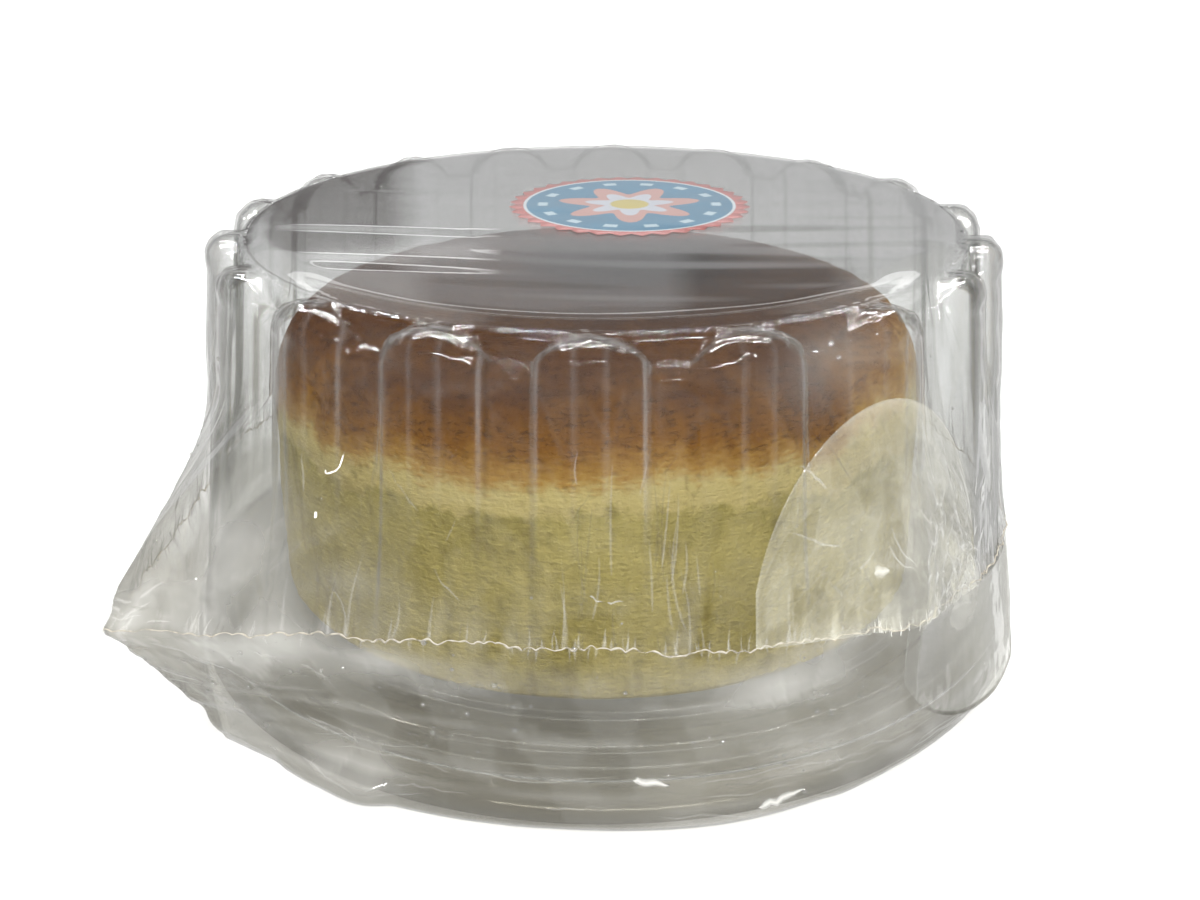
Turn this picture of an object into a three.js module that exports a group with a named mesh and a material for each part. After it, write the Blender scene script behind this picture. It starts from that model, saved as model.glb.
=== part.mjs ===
// A round soufflé cheesecake in its clear retail pack: the cake on a moulded base tray, under a fluted dome
// with a round label on top, all overwrapped in sealed clear film with one loose corner.
// Millimetres, +Z up, the front (the label's near side) towards -Y, origin under the pack's centre.

import * as THREE from "three";

// Cake
const CAKE_RADIUS = 90;
const CAKE_OFFSET_X = -1.8;
const CAKE_CROWN_Z = 97;
const CAKE_CROWN_DROP = 5.2;
const CAKE_CROWN_RADIUS = 74;
const CAKE_SHOULDER_RADIUS = 87.7;
const CAKE_SHOULDER_Z = 81;
const CAKE_SIDE_TOP_Z = 76;
const CAKE_SIDE_TOP_INSET = 0.6;
const CAKE_FOOT_INSET = 0.4;
const CAKE_FOOT_ROUND = 1.5;
const SKIN_EDGE_Z = 68.5;
const SKIN_EDGE_WAVE = 2.2;
const SKIN_EDGE_SAG = 2.5;
const SKIN_LIP = 0.2;
const SKIN_OVERHANG = 1;
const CRUMB_RELIEF = 0.7;
const TORN_HIGH_Z = 58;
const TORN_LOW_Z = 31;

// Base tray
const SHEET = 0.7;
const PLATFORM_Z = 17.3;
const PLATFORM_RADIUS = 94;
const PLATFORM_SLOPE = 1.5;
const GROOVE_DEPTH = 1.5;
const RING_SLOPE = 2;
const RING_RADIUS = 102;
const RING_OUTER_RADIUS = 108;
const RING_BEVEL = 1.6;
const RING_BEVEL_DROP = 1;
const RING_FOOT = 2.4;
// Sideways shift of the underside's corners from the corners above them
const SHEET_MITRE = 0.4;
const LEDGE_Z = 12.6;
const LEDGE_RADIUS = 116;
const TRAY_FOOT_RADIUS = 116.4;
const TRAY_FOOT_Z = 1.4;

// Dome lid
const DOME_SHEET = 0.6;
const DOME_TOP_Z = 112.6;
const DOME_SHOULDER_ROUND = 9.7;
const DOME_TOP_RADIUS = 104.9;
const DOME_DRAFT = 0.11;
const DOME_FOOT_Z = 13;
const DOME_FLANGE_RADIUS = 116.4;
const FLUTE_COUNT = 18;
const FLUTE_PHASE = -1.6;
const FLUTE_DEPTH = 3.5;
const LOBE_HALF_ANGLE = 6.2;
const FLUTE_STEP_ANGLE = 1.6;
const FLUTE_FULL_Z = 90;
const FLUTE_FADE_LOW_Z = 24;
const FLUTE_FADE_HIGH_Z = 34;

// Label
const LABEL_RADIUS = 33.8;
const LABEL_TOOTH = 1.1;
const LABEL_TEETH = 36;
const LABEL_SHEET = 0.3;
const LABEL_CENTRE = [7.2, 14];

// Film wrap
const FILM = 0.5;
const GAP = 0.3;
const VENT_RADIUS = 5;
const FILM_WALL_HIGH_Z = 84;
const FILM_WALL_LOW_Z = 54;
const FILM_SKIRT_Z = 33;
const FILM_CORNER_ROUND = 2.4;
const SEAM_FRONT_Z = 44.5;
const SEAM_SIDE_DROP = 8.8;
const SEAM_TILT = 2.9;
const SEAM_PROUD = 1.2;
const SEAM_HALF_WIDTH = 1.6;
// Corners of the wrap: bearing from the front, reach of the corner from the axis at the seam
const LOOSE_CORNER = { bearing: -50, reach: 151 };
const TIGHT_CORNERS = [
  { bearing: 40, reach: 117 },
  { bearing: 135, reach: 120 },
  { bearing: -135, reach: 120 },
];
// The share of a corner's reach that is left at heights above (+) and below (-) the seam
const CORNER_FADE = [[-42, 0.1], [-30, 0.38], [-10, 0.8], [0, 1], [10, 0.84], [20, 0.48], [30, 0.1], [37, 0]];

// Facets round the axis
const CAKE_COLUMNS = 64;
const TRAY_COLUMNS = 48;
const FILM_COLUMNS = 72;

const radians = THREE.MathUtils.degToRad;
const { lerp, smoothstep } = THREE.MathUtils;

// Point on a ring: the bearing is counted from the front (-Y) towards the right (+X).
function ringPoint(bearing, [radius, z], [centreX, centreY]) {
  return [centreX + radius * Math.sin(bearing), centreY - radius * Math.cos(bearing), z];
}

function evenBearings(count) {
  return Array.from({ length: count }, (_, i) => (2 * Math.PI * i) / count);
}

// Evenly spaced heights, both ends among them
function evenHeights(from, to, count) {
  return Array.from({ length: count }, (_, i) => lerp(from, to, i / (count - 1)));
}

// Closed body swept round the axis, from a top pole to an end pole, through rings that are functions of the
// bearing and return [radius, z].
function bodyFromRings({ topZ, rings, endZ, bearings, centre = [0, 0] }) {
  const columns = bearings.length;
  const positions = [centre[0], centre[1], topZ];
  for (const ring of rings) {
    for (const bearing of bearings) positions.push(...ringPoint(bearing, ring(bearing), centre));
  }
  positions.push(centre[0], centre[1], endZ);
  const vertex = (row, column) => 1 + row * columns + (column % columns);
  const endPole = 1 + rings.length * columns;
  const faces = [];
  for (let column = 0; column < columns; column += 1) {
    faces.push(0, vertex(0, column), vertex(0, column + 1));
    for (let row = 0; row + 1 < rings.length; row += 1) {
      const [a, b] = [vertex(row, column), vertex(row, column + 1)];
      const [c, d] = [vertex(row + 1, column), vertex(row + 1, column + 1)];
      faces.push(a, c, d, a, d, b);
    }
    faces.push(vertex(rings.length - 1, column), endPole, vertex(rings.length - 1, column + 1));
  }
  const geometry = new THREE.BufferGeometry();
  geometry.setAttribute("position", new THREE.Float32BufferAttribute(positions, 3));
  geometry.setIndex(faces);
  geometry.computeVertexNormals();
  return geometry;
}

// Rings that are the same all the way round
function plainRings(points) {
  return points.map((point) => () => point);
}

function namedMesh(name, geometry, look) {
  const mesh = new THREE.Mesh(geometry, new THREE.MeshStandardMaterial({ metalness: 0, ...look }));
  mesh.name = name;
  return mesh;
}

function clearPlastic(color, opacity, roughness) {
  return { color, roughness, transparent: true, opacity };
}

// Lower edge of the browned skin, slightly ragged and lower at the sides than at the front
function skinEdge(bearing) {
  const ragged = Math.sin(5 * bearing + 0.8) + 0.6 * Math.sin(13 * bearing + 2.1);
  const sag = SKIN_EDGE_SAG * (1 - Math.cos(2 * bearing));
  return SKIN_EDGE_Z - sag + 0.5 * SKIN_EDGE_WAVE * ragged;
}

// Upright tears in the peeled crumb: how far the side stands in at a bearing and height
function crumbRelief(bearing, z) {
  const lean = 0.02 * z;
  const tears = Math.sin(9 * bearing + lean) + 0.8 * Math.sin(17 * bearing + 1.7 - lean);
  const pits = 0.7 * Math.sin(26 * bearing + 0.21 * z) * Math.sin(0.3 * z + 3 * bearing);
  return CRUMB_RELIEF * 0.5 * (tears + pits);
}

// Uncut cake: crowned brown top, soft shoulder, overhanging skin edge and a torn side below it.
function makeCake() {
  const bottomZ = PLATFORM_Z + GAP;
  const crown = (share) => [CAKE_CROWN_RADIUS * share, CAKE_CROWN_Z - CAKE_CROWN_DROP * share ** 4];
  const crownEdgeZ = CAKE_CROWN_Z - CAKE_CROWN_DROP;
  const shoulder = (turn) => [
    lerp(CAKE_CROWN_RADIUS, CAKE_SHOULDER_RADIUS, Math.sin(radians(turn))),
    lerp(crownEdgeZ, CAKE_SHOULDER_Z, 1 - Math.cos(radians(turn))),
  ];
  const torn = (z) => (bearing) => {
    const height = (z - bottomZ) / (SKIN_EDGE_Z - bottomZ);
    const inset = CAKE_FOOT_INSET * (1 - height) + SKIN_OVERHANG;
    return [CAKE_RADIUS - inset + crumbRelief(bearing, z), z];
  };
  const tornTopRadius = (bearing) => CAKE_RADIUS - SKIN_OVERHANG + crumbRelief(bearing, SKIN_EDGE_Z);
  const tornHeights = [...evenHeights(TORN_HIGH_Z, TORN_LOW_Z, 4), bottomZ + CAKE_FOOT_ROUND];
  const rings = [
    ...plainRings([0.4, 0.75, 1].map(crown)),
    ...plainRings([25, 50, 75, 90].map(shoulder)),
    () => [CAKE_RADIUS - CAKE_SIDE_TOP_INSET, CAKE_SIDE_TOP_Z],
    (bearing) => [CAKE_RADIUS, skinEdge(bearing) + 5 * SKIN_LIP],
    (bearing) => [CAKE_RADIUS - SKIN_LIP, skinEdge(bearing)],
    (bearing) => [tornTopRadius(bearing), skinEdge(bearing) - 4 * SKIN_LIP],
    ...tornHeights.map(torn),
    () => [CAKE_RADIUS - SKIN_OVERHANG - CAKE_FOOT_INSET - CAKE_FOOT_ROUND, bottomZ],
  ];
  const bearings = evenBearings(CAKE_COLUMNS);
  return bodyFromRings({ topZ: CAKE_CROWN_Z, rings, endZ: bottomZ, bearings, centre: [CAKE_OFFSET_X, 0] });
}

// Thermoformed base: a seat for the cake, a groove and ring round it, a ledge for the dome and a skirt.
function makeBaseTray() {
  const upper = [
    [PLATFORM_RADIUS, PLATFORM_Z],
    [PLATFORM_RADIUS + PLATFORM_SLOPE, PLATFORM_Z - GROOVE_DEPTH],
    [RING_RADIUS - RING_SLOPE, PLATFORM_Z - GROOVE_DEPTH],
    [RING_RADIUS, PLATFORM_Z],
    [RING_OUTER_RADIUS, PLATFORM_Z],
    [RING_OUTER_RADIUS + RING_BEVEL, PLATFORM_Z - RING_BEVEL_DROP],
    [RING_OUTER_RADIUS + RING_FOOT, LEDGE_Z],
    [LEDGE_RADIUS, LEDGE_Z],
    [TRAY_FOOT_RADIUS, TRAY_FOOT_Z],
  ];
  const grooveUnderZ = PLATFORM_Z - GROOVE_DEPTH - SHEET;
  const lower = [
    [TRAY_FOOT_RADIUS - SHEET, TRAY_FOOT_Z],
    [LEDGE_RADIUS - SHEET, LEDGE_Z - SHEET],
    [RING_OUTER_RADIUS + RING_FOOT - SHEET, LEDGE_Z - SHEET],
    [RING_OUTER_RADIUS + RING_BEVEL - SHEET, PLATFORM_Z - RING_BEVEL_DROP - SHEET_MITRE],
    [RING_OUTER_RADIUS - SHEET_MITRE, PLATFORM_Z - SHEET],
    [RING_RADIUS + SHEET_MITRE, PLATFORM_Z - SHEET],
    [RING_RADIUS - RING_SLOPE + SHEET_MITRE, grooveUnderZ],
    [PLATFORM_RADIUS + PLATFORM_SLOPE - SHEET_MITRE, grooveUnderZ],
    [PLATFORM_RADIUS - SHEET_MITRE, PLATFORM_Z - SHEET],
  ];
  const rings = plainRings([...upper, ...lower]);
  const bearings = evenBearings(TRAY_COLUMNS);
  return bodyFromRings({ topZ: PLATFORM_Z, rings, endZ: PLATFORM_Z - SHEET, bearings });
}

// Outer wall of the dome's lobes: it widens downwards by the draft.
function domeWallRadius(z) {
  return DOME_TOP_RADIUS + DOME_DRAFT * (DOME_TOP_Z - DOME_SHOULDER_ROUND - z);
}

// Bearings of the dome's columns: the middle and both ends of each step between a lobe and a recess
function fluteBearings() {
  const pitch = 360 / FLUTE_COUNT;
  const low = LOBE_HALF_ANGLE;
  const high = LOBE_HALF_ANGLE + FLUTE_STEP_ANGLE;
  const offsets = [-pitch / 2, -high, -low, 0, low, high];
  const bearings = [];
  for (let lobe = 0; lobe < FLUTE_COUNT; lobe += 1) {
    for (const offset of offsets) bearings.push(radians(lobe * pitch + offset + FLUTE_PHASE));
  }
  return bearings;
}

// How deep the dome's side is recessed at a bearing: 0 on a lobe, 1 between lobes. A lobe's top is an arch.
function recessShare(bearing, archShare) {
  const pitch = 360 / FLUTE_COUNT;
  const degrees = THREE.MathUtils.radToDeg(bearing) - FLUTE_PHASE;
  const fromLobe = Math.abs(degrees - pitch * Math.round(degrees / pitch));
  const halfAngle = LOBE_HALF_ANGLE * archShare;
  return smoothstep(fromLobe, halfAngle, halfAngle + FLUTE_STEP_ANGLE);
}

// Thin fluted dome, open below, with a flat flange that stands on the tray's ledge.
function makeDomeLid() {
  const shoulderTurns = [15, 35, 60, 90];
  const round = DOME_SHOULDER_ROUND;
  const wallHeights = [FLUTE_FULL_Z, FLUTE_FADE_HIGH_Z + round, FLUTE_FADE_HIGH_Z, FLUTE_FADE_LOW_Z];
  const shoulderRing = (turn, sheet) => (bearing) => {
    const angle = radians(turn);
    const arch = Math.sqrt(1 - (1 - turn / 90) ** 2);
    const deep = sheet + FLUTE_DEPTH * recessShare(bearing, arch) * smoothstep(turn, 0, 45);
    const radius = DOME_TOP_RADIUS - round + (round - deep) * Math.sin(angle);
    return [radius, DOME_TOP_Z - round + (round - deep) * Math.cos(angle)];
  };
  const wallRing = (z, sheet) => (bearing) => {
    const fade = smoothstep(z, FLUTE_FADE_LOW_Z, FLUTE_FADE_HIGH_Z);
    return [domeWallRadius(z) - sheet - FLUTE_DEPTH * fade * recessShare(bearing, 1), z];
  };
  const flangeTopZ = DOME_FOOT_Z + DOME_SHEET;
  const flatEdge = DOME_TOP_RADIUS - round;
  const rings = [
    () => [flatEdge, DOME_TOP_Z],
    ...shoulderTurns.map((turn) => shoulderRing(turn, 0)),
    ...wallHeights.map((z) => wallRing(z, 0)),
    () => [domeWallRadius(flangeTopZ), flangeTopZ],
    () => [DOME_FLANGE_RADIUS, flangeTopZ],
    () => [DOME_FLANGE_RADIUS, DOME_FOOT_Z],
    () => [domeWallRadius(DOME_FOOT_Z) - DOME_SHEET, DOME_FOOT_Z],
    ...wallHeights.toReversed().map((z) => wallRing(z, DOME_SHEET)),
    ...shoulderTurns.toReversed().map((turn) => shoulderRing(turn, DOME_SHEET)),
    () => [flatEdge, DOME_TOP_Z - DOME_SHEET],
  ];
  return bodyFromRings({ topZ: DOME_TOP_Z, rings, endZ: DOME_TOP_Z - DOME_SHEET, bearings: fluteBearings() });
}

// Round sticker with a pinked edge
function makeLabel() {
  const bottomZ = DOME_TOP_Z + GAP;
  const topZ = bottomZ + LABEL_SHEET;
  const edge = (bearing) => LABEL_RADIUS - LABEL_TOOTH * 0.5 * (1 - Math.cos(LABEL_TEETH * bearing));
  const rings = [(bearing) => [edge(bearing), topZ], (bearing) => [edge(bearing), bottomZ]];
  const bearings = evenBearings(2 * LABEL_TEETH);
  return bodyFromRings({ topZ, rings, endZ: bottomZ, bearings, centre: LABEL_CENTRE });
}

// Height of the heat seal: highest at the front, lower at the sides and a little lower on the right.
function seamHeight(bearing) {
  const side = Math.sin(bearing);
  return SEAM_FRONT_Z - SEAM_SIDE_DROP * side * side - SEAM_TILT * side;
}

// Straight-line lookup in a list of [key, value] pairs
function lookUp(pairs, key) {
  const after = pairs.findIndex(([end]) => end >= key);
  if (after === 0) return pairs[0][1];
  if (after < 0) return pairs.at(-1)[1];
  const [[lowKey, low], [highKey, high]] = [pairs[after - 1], pairs[after]];
  return lerp(low, high, (key - lowKey) / (highKey - lowKey));
}

// Smallest turn between two bearings
function turnBetween(from, to) {
  return Math.abs(THREE.MathUtils.euclideanModulo(from - to + Math.PI, 2 * Math.PI) - Math.PI);
}

// Taut outline of the wrap: the tangent hull of the round wall and of a corner that pulls the film outwards.
function tautRadius(wall, bearing, aboveSeam) {
  const fade = lookUp(CORNER_FADE, aboveSeam);
  let radius = wall;
  for (const corner of [LOOSE_CORNER, ...TIGHT_CORNERS]) {
    const reach = wall + Math.max(0, corner.reach - wall) * fade;
    const spread = Math.acos(wall / reach);
    const turn = turnBetween(bearing, radians(corner.bearing));
    radius = Math.max(radius, wall / Math.cos(Math.max(0, spread - turn)));
  }
  return radius;
}

// Sealed film as a thin skin round dome and tray, its two plies joined at the seam, with a vent underneath.
function makeFilmWrap() {
  const clear = GAP + FILM;
  const topZ = DOME_TOP_Z + GAP + LABEL_SHEET + clear;
  const shoulderZ = DOME_TOP_Z - DOME_SHOULDER_ROUND;
  const shoulderRound = DOME_SHOULDER_ROUND + clear;
  const flatEdge = DOME_TOP_RADIUS - DOME_SHOULDER_ROUND;
  const floorRadius = TRAY_FOOT_RADIUS + clear + FILM_CORNER_ROUND / 2;
  const wallRadius = (z) => {
    if (z > SEAM_FRONT_Z) return domeWallRadius(z) + clear;
    const share = Math.min(1, (SEAM_FRONT_Z - z) / (SEAM_FRONT_Z - DOME_FOOT_Z));
    return lerp(domeWallRadius(SEAM_FRONT_Z) + clear, DOME_FLANGE_RADIUS + clear, share);
  };
  const shoulderRing = (turn, ply) => () => {
    const angle = radians(turn);
    const rise = turn < 45 ? topZ - shoulderZ - shoulderRound : 0;
    const radius = flatEdge + (shoulderRound - ply) * Math.sin(angle);
    return [radius, shoulderZ + rise + (shoulderRound - ply) * Math.cos(angle)];
  };
  const wallRing = (z, ply) => (bearing) => {
    return [tautRadius(wallRadius(z), bearing, z - seamHeight(bearing)) - ply, z];
  };
  const seamRing = (above, proud, ply) => (bearing) => {
    const z = seamHeight(bearing) + above;
    return [tautRadius(wallRadius(z), bearing, above) + proud - ply, z];
  };
  const floorRing = (inset, z) => (bearing) => {
    return [tautRadius(floorRadius, bearing, -seamHeight(bearing)) - inset, z];
  };
  const shoulderTurns = [0, 25, 50, 70, 90];
  const upperHeights = evenHeights(FILM_WALL_HIGH_Z, FILM_WALL_LOW_Z, 4);
  const lowerHeights = evenHeights(FILM_SKIRT_Z, DOME_FOOT_Z, 3);
  const half = SEAM_HALF_WIDTH;
  const round = FILM_CORNER_ROUND;
  const rings = [
    ...shoulderTurns.map((turn) => shoulderRing(turn, 0)),
    ...upperHeights.map((z) => wallRing(z, 0)),
    seamRing(half, 0, 0),
    seamRing(0, SEAM_PROUD, 0),
    seamRing(-half, 0, 0),
    ...lowerHeights.map((z) => wallRing(z, 0)),
    floorRing(0, round),
    floorRing(0.3 * round, 0.3 * round),
    floorRing(round, 0),
    () => [VENT_RADIUS, 0],
    () => [VENT_RADIUS, FILM],
    floorRing(round, FILM),
    floorRing(FILM, round),
    ...lowerHeights.toReversed().map((z) => wallRing(z, FILM)),
    seamRing(0, 0, FILM),
    ...upperHeights.toReversed().map((z) => wallRing(z, FILM)),
    ...shoulderTurns.toReversed().map((turn) => shoulderRing(turn, FILM)),
  ];
  return bodyFromRings({ topZ, rings, endZ: topZ - FILM, bearings: evenBearings(FILM_COLUMNS) });
}

const pack = new THREE.Group();
pack.add(
  namedMesh("cake", makeCake(), { color: 0xcfc07a, roughness: 0.85 }),
  namedMesh("base_tray", makeBaseTray(), clearPlastic(0xe9ebea, 0.3, 0.12)),
  namedMesh("dome_lid", makeDomeLid(), clearPlastic(0xeef1f0, 0.22, 0.06)),
  namedMesh("label", makeLabel(), { color: 0x4f9fb8, roughness: 0.45 }),
  namedMesh("film_wrap", makeFilmWrap(), clearPlastic(0xf4f6f6, 0.15, 0.1)),
);

export default pack;
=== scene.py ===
"""A round souffle cheesecake sealed in its clear pack, laid out as an add-on and run as a script."""
import math

import bpy
import numpy as np
from bpy.props import FloatProperty, FloatVectorProperty, IntProperty, PointerProperty
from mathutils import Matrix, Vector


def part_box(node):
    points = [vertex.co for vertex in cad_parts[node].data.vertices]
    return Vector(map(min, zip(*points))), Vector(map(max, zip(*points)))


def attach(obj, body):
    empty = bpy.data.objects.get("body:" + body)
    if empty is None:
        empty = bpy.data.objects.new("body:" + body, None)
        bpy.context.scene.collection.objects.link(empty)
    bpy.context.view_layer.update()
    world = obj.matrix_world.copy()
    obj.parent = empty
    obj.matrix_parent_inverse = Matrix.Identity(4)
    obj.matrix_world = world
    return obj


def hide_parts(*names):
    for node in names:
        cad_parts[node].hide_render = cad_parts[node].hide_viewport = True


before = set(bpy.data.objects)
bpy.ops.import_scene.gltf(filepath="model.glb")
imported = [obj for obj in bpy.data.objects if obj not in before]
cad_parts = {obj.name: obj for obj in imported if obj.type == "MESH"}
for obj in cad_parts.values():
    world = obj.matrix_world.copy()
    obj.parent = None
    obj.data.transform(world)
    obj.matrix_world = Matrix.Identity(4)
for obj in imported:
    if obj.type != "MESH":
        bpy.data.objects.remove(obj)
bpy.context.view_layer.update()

bl_info = {
    "name": "Packed Cheesecake",
    "version": (1, 0, 0),
    "blender": (4, 5, 0),
    "location": "View3D > Sidebar > Cheesecake",
    "description": "Makes a cheesecake under a fluted clear dome, sealed in loose clear film",
    "category": "Add Mesh",
}

MM = 0.001
FULL_TURN = 2 * math.pi


def node_box(name):
    """Lowest and highest corner of a solid of the frame, as arrays in metres."""
    return tuple(np.array(corner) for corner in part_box(name))


CAKE_LOW, CAKE_HIGH = node_box("cake")
TRAY_LOW, TRAY_HIGH = node_box("base_tray")
DOME_LOW, DOME_HIGH = node_box("dome_lid")
LABEL_LOW, LABEL_HIGH = node_box("label")
FILM_HIGH = node_box("film_wrap")[1]

CAKE_CENTRE = (CAKE_LOW[:2] + CAKE_HIGH[:2]) / 2
CAKE_RADIUS = (CAKE_HIGH[0] - CAKE_LOW[0]) / 2
CAKE_BASE = CAKE_LOW[2]
CAKE_TOP = CAKE_HIGH[2]
PLATFORM = TRAY_HIGH[2]
TRAY_RADIUS = TRAY_HIGH[0]
# How much higher the dome and the film stand than in the solids
TOP_RAISE = 2.0 * MM
DOME_TOP = DOME_HIGH[2] + TOP_RAISE
DOME_FOOT = DOME_LOW[2]
FLANGE_RADIUS = DOME_HIGH[0]
LABEL_CENTRE = (LABEL_LOW[:2] + LABEL_HIGH[:2]) / 2
LABEL_RADIUS = (LABEL_HIGH[0] - LABEL_LOW[0]) / 2
FILM_RADIUS = FILM_HIGH[0]


class CakeSettings(bpy.types.PropertyGroup):
    """Sizes and colours of the cake."""

    skin_edge: FloatProperty(
        name="Skin edge", description="Height of the browned skin's lower edge at the front",
        unit="LENGTH", default=68.5 * MM)
    overhang: FloatProperty(
        name="Overhang", description="How far the skin stands over the torn crumb",
        unit="LENGTH", default=0.2 * MM)
    crumb_relief: FloatProperty(
        name="Crumb relief", description="Depth of the torn side's upright tears",
        unit="LENGTH", default=0.5 * MM)
    crown_colour: FloatVectorProperty(
        name="Crown", description="Darkest browning on the top", subtype="COLOR",
        default=(0.088, 0.033, 0.010))
    brown_colour: FloatVectorProperty(
        name="Brown", description="Browned upper side", subtype="COLOR", default=(0.20, 0.083, 0.009))
    amber_colour: FloatVectorProperty(
        name="Amber", description="Where the browning fades", subtype="COLOR", default=(0.36, 0.203, 0.045))
    cream_colour: FloatVectorProperty(
        name="Cream", description="Pale band at the skin's edge", subtype="COLOR",
        default=(0.52, 0.425, 0.17))
    crumb_colour: FloatVectorProperty(
        name="Crumb", description="Torn crumb", subtype="COLOR", default=(0.44, 0.368, 0.130))
    shade_colour: FloatVectorProperty(
        name="Crumb shade", description="Moist, darker crumb", subtype="COLOR", default=(0.33, 0.272, 0.08))


class PackSettings(bpy.types.PropertyGroup):
    """Sizes and colours of tray, dome, film and label."""

    sheet: FloatProperty(
        name="Sheet", description="Thickness of the dome's and tray's sheet", unit="LENGTH",
        default=0.35 * MM)
    flutes: IntProperty(name="Flutes", description="Lobes round the dome", default=18)
    flute_phase: FloatProperty(
        name="Flute phase", description="Bearing of the front lobe", subtype="ANGLE",
        default=math.radians(-1.6))
    flute_depth: FloatProperty(
        name="Flute depth", description="How far the panels stand back", unit="LENGTH", default=4.2 * MM)
    seam_height: FloatProperty(
        name="Seam height", description="Height of the heat seal at the front", unit="LENGTH",
        default=44.5 * MM)
    rib_height: FloatProperty(
        name="Rib height", description="Height of the rib up each lobe", unit="LENGTH", default=0.35 * MM)
    dome_tint: FloatVectorProperty(
        name="Dome tint", description="Light let through by a face of the dome's sheet", subtype="COLOR",
        default=(0.93, 0.932, 0.928))
    tray_tint: FloatVectorProperty(
        name="Tray tint", description="Light let through by a face of the tray's sheet", subtype="COLOR",
        default=(0.805, 0.788, 0.74))
    film_tint: FloatVectorProperty(
        name="Film tint", description="Light let through by the film", subtype="COLOR",
        default=(0.89, 0.893, 0.893))
    flap_tint: FloatVectorProperty(
        name="Flap tint", description="Light let through by a face of a loose flap", subtype="COLOR",
        default=(0.96, 0.96, 0.96))
    field_colour: FloatVectorProperty(
        name="Label field", description="Main colour of the label", subtype="COLOR",
        default=(0.010, 0.24, 0.42))
    deep_colour: FloatVectorProperty(
        name="Label depth", description="Darker colour of the label's field", subtype="COLOR",
        default=(0.010, 0.15, 0.27))
    petal_colour: FloatVectorProperty(
        name="Label petals", description="Petals of the rosette", subtype="COLOR",
        default=(0.62, 0.32, 0.27))
    edge_colour: FloatVectorProperty(
        name="Label edge", description="Pinked edge of the label", subtype="COLOR",
        default=(0.55, 0.12, 0.10))


class StageSettings(bpy.types.PropertyGroup):
    """Camera and light."""

    camera_distance: FloatProperty(
        name="Camera distance", description="Level distance from the pack's axis", unit="LENGTH",
        default=0.4007)
    camera_height: FloatProperty(
        name="Camera height", description="Height over the floor", unit="LENGTH", default=0.2171)
    camera_pitch: FloatProperty(
        name="Camera pitch", description="Angle below the horizon", subtype="ANGLE",
        default=math.radians(23.17))
    lens: FloatProperty(name="Lens", description="Focal length in millimetres", default=45.0)
    shift: FloatProperty(name="Shift", description="Sideways shift of the frame", default=-0.0032)
    sun_strength: FloatProperty(name="Key light", description="Strength of the soft key light", default=3.2)
    fill_strength: FloatProperty(
        name="Fill light", description="Strength of the dim light from behind", default=1.1)
    tube_strength: FloatProperty(
        name="Tubes", description="Power of a mirrored tube lamp in watts", default=90.0)


def cake_settings():
    """The cake's settings of the scene."""
    return bpy.context.scene.cheesecake_cake


def pack_settings():
    """The pack's settings of the scene."""
    return bpy.context.scene.cheesecake_pack


def smooth_step(value, low, high):
    """0 below low, 1 above high, and 3t^2 - 2t^3 between them."""
    t = np.clip((value - low) / (high - low), 0.0, 1.0)
    return t * t * (3.0 - 2.0 * t)


def lattice_noise(u, v, cells_u, cells_v, seed):
    """Noise from -1 to 1 over u and v in 0..1: random values on a lattice that closes on itself along u,
    blended between neighbours by 3t^2 - 2t^3."""
    lattice = np.random.default_rng(seed).uniform(-1.0, 1.0, (cells_v + 2, cells_u))
    x = u * cells_u
    y = np.clip(v, 0.0, 1.0) * cells_v
    column = np.floor(x).astype(int)
    row = np.floor(y).astype(int)
    across = smooth_step(x - column, 0.0, 1.0)
    along = smooth_step(y - row, 0.0, 1.0)
    left = column % cells_u
    right = (column + 1) % cells_u
    near = lattice[row, left] * (1 - across) + lattice[row, right] * across
    far = lattice[row + 1, left] * (1 - across) + lattice[row + 1, right] * across
    return near * (1 - along) + far * along


def jittered_cells(u, v, cells_u, cells_v, seed):
    """Angular cells over u and v in 0..1: one point per lattice square, moved at random. Returns how far a
    place is from the border of its cell, in squares, and its cell's own random number from 0 to 1. The
    lattice closes on itself along u."""
    draw = np.random.default_rng(seed)
    point_u, point_v, number = draw.random((3, cells_v + 4, cells_u))
    x = u * cells_u
    y = np.clip(v, 0.0, 1.0) * cells_v
    column = np.floor(x).astype(int)
    row = np.floor(y).astype(int)
    nearest = np.full(x.shape, 9.0)
    second = np.full(x.shape, 9.0)
    value = np.zeros(x.shape)
    for down in (-1, 0, 1):
        for right in (-1, 0, 1):
            i = row + down + 1
            j = (column + right) % cells_u
            away = np.hypot(column + right + point_u[i, j] - x, row + down + point_v[i, j] - y)
            closer = away < nearest
            second = np.where(closer, nearest, np.minimum(second, away))
            value = np.where(closer, number[i, j], value)
            nearest = np.minimum(nearest, away)
    return second - nearest, value


def creases(noise, width):
    """Narrow ridges along the zero lines of a noise: exp(-(noise / width)^2)."""
    return np.exp(-((noise / width) ** 2))


def crowded(low, high, count, density):
    """Places from low up to high, close together where the density function is high: even steps of the
    running sum of the density, read backwards."""
    place = np.linspace(low, high, 40 * count)
    weight = np.concatenate([[0.0], np.cumsum((density(place[1:]) + density(place[:-1])) / 2)])
    return np.interp(np.arange(count) / count * weight[-1], weight, place)


def around(columns):
    """Bearings of a full turn, counted from the front (-Y) towards the right (+X)."""
    return np.arange(columns) * FULL_TURN / columns


def corner_turn(bearing, corner):
    """Turn from a bearing, between minus and plus half a turn."""
    return (bearing - corner + math.pi) % FULL_TURN - math.pi


def near_bearing(bearing, middle, width):
    """Soft bump exp(-(turn / width)^2) about a bearing, both in degrees."""
    return np.exp(-((corner_turn(bearing, math.radians(middle)) / math.radians(width)) ** 2))


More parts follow.
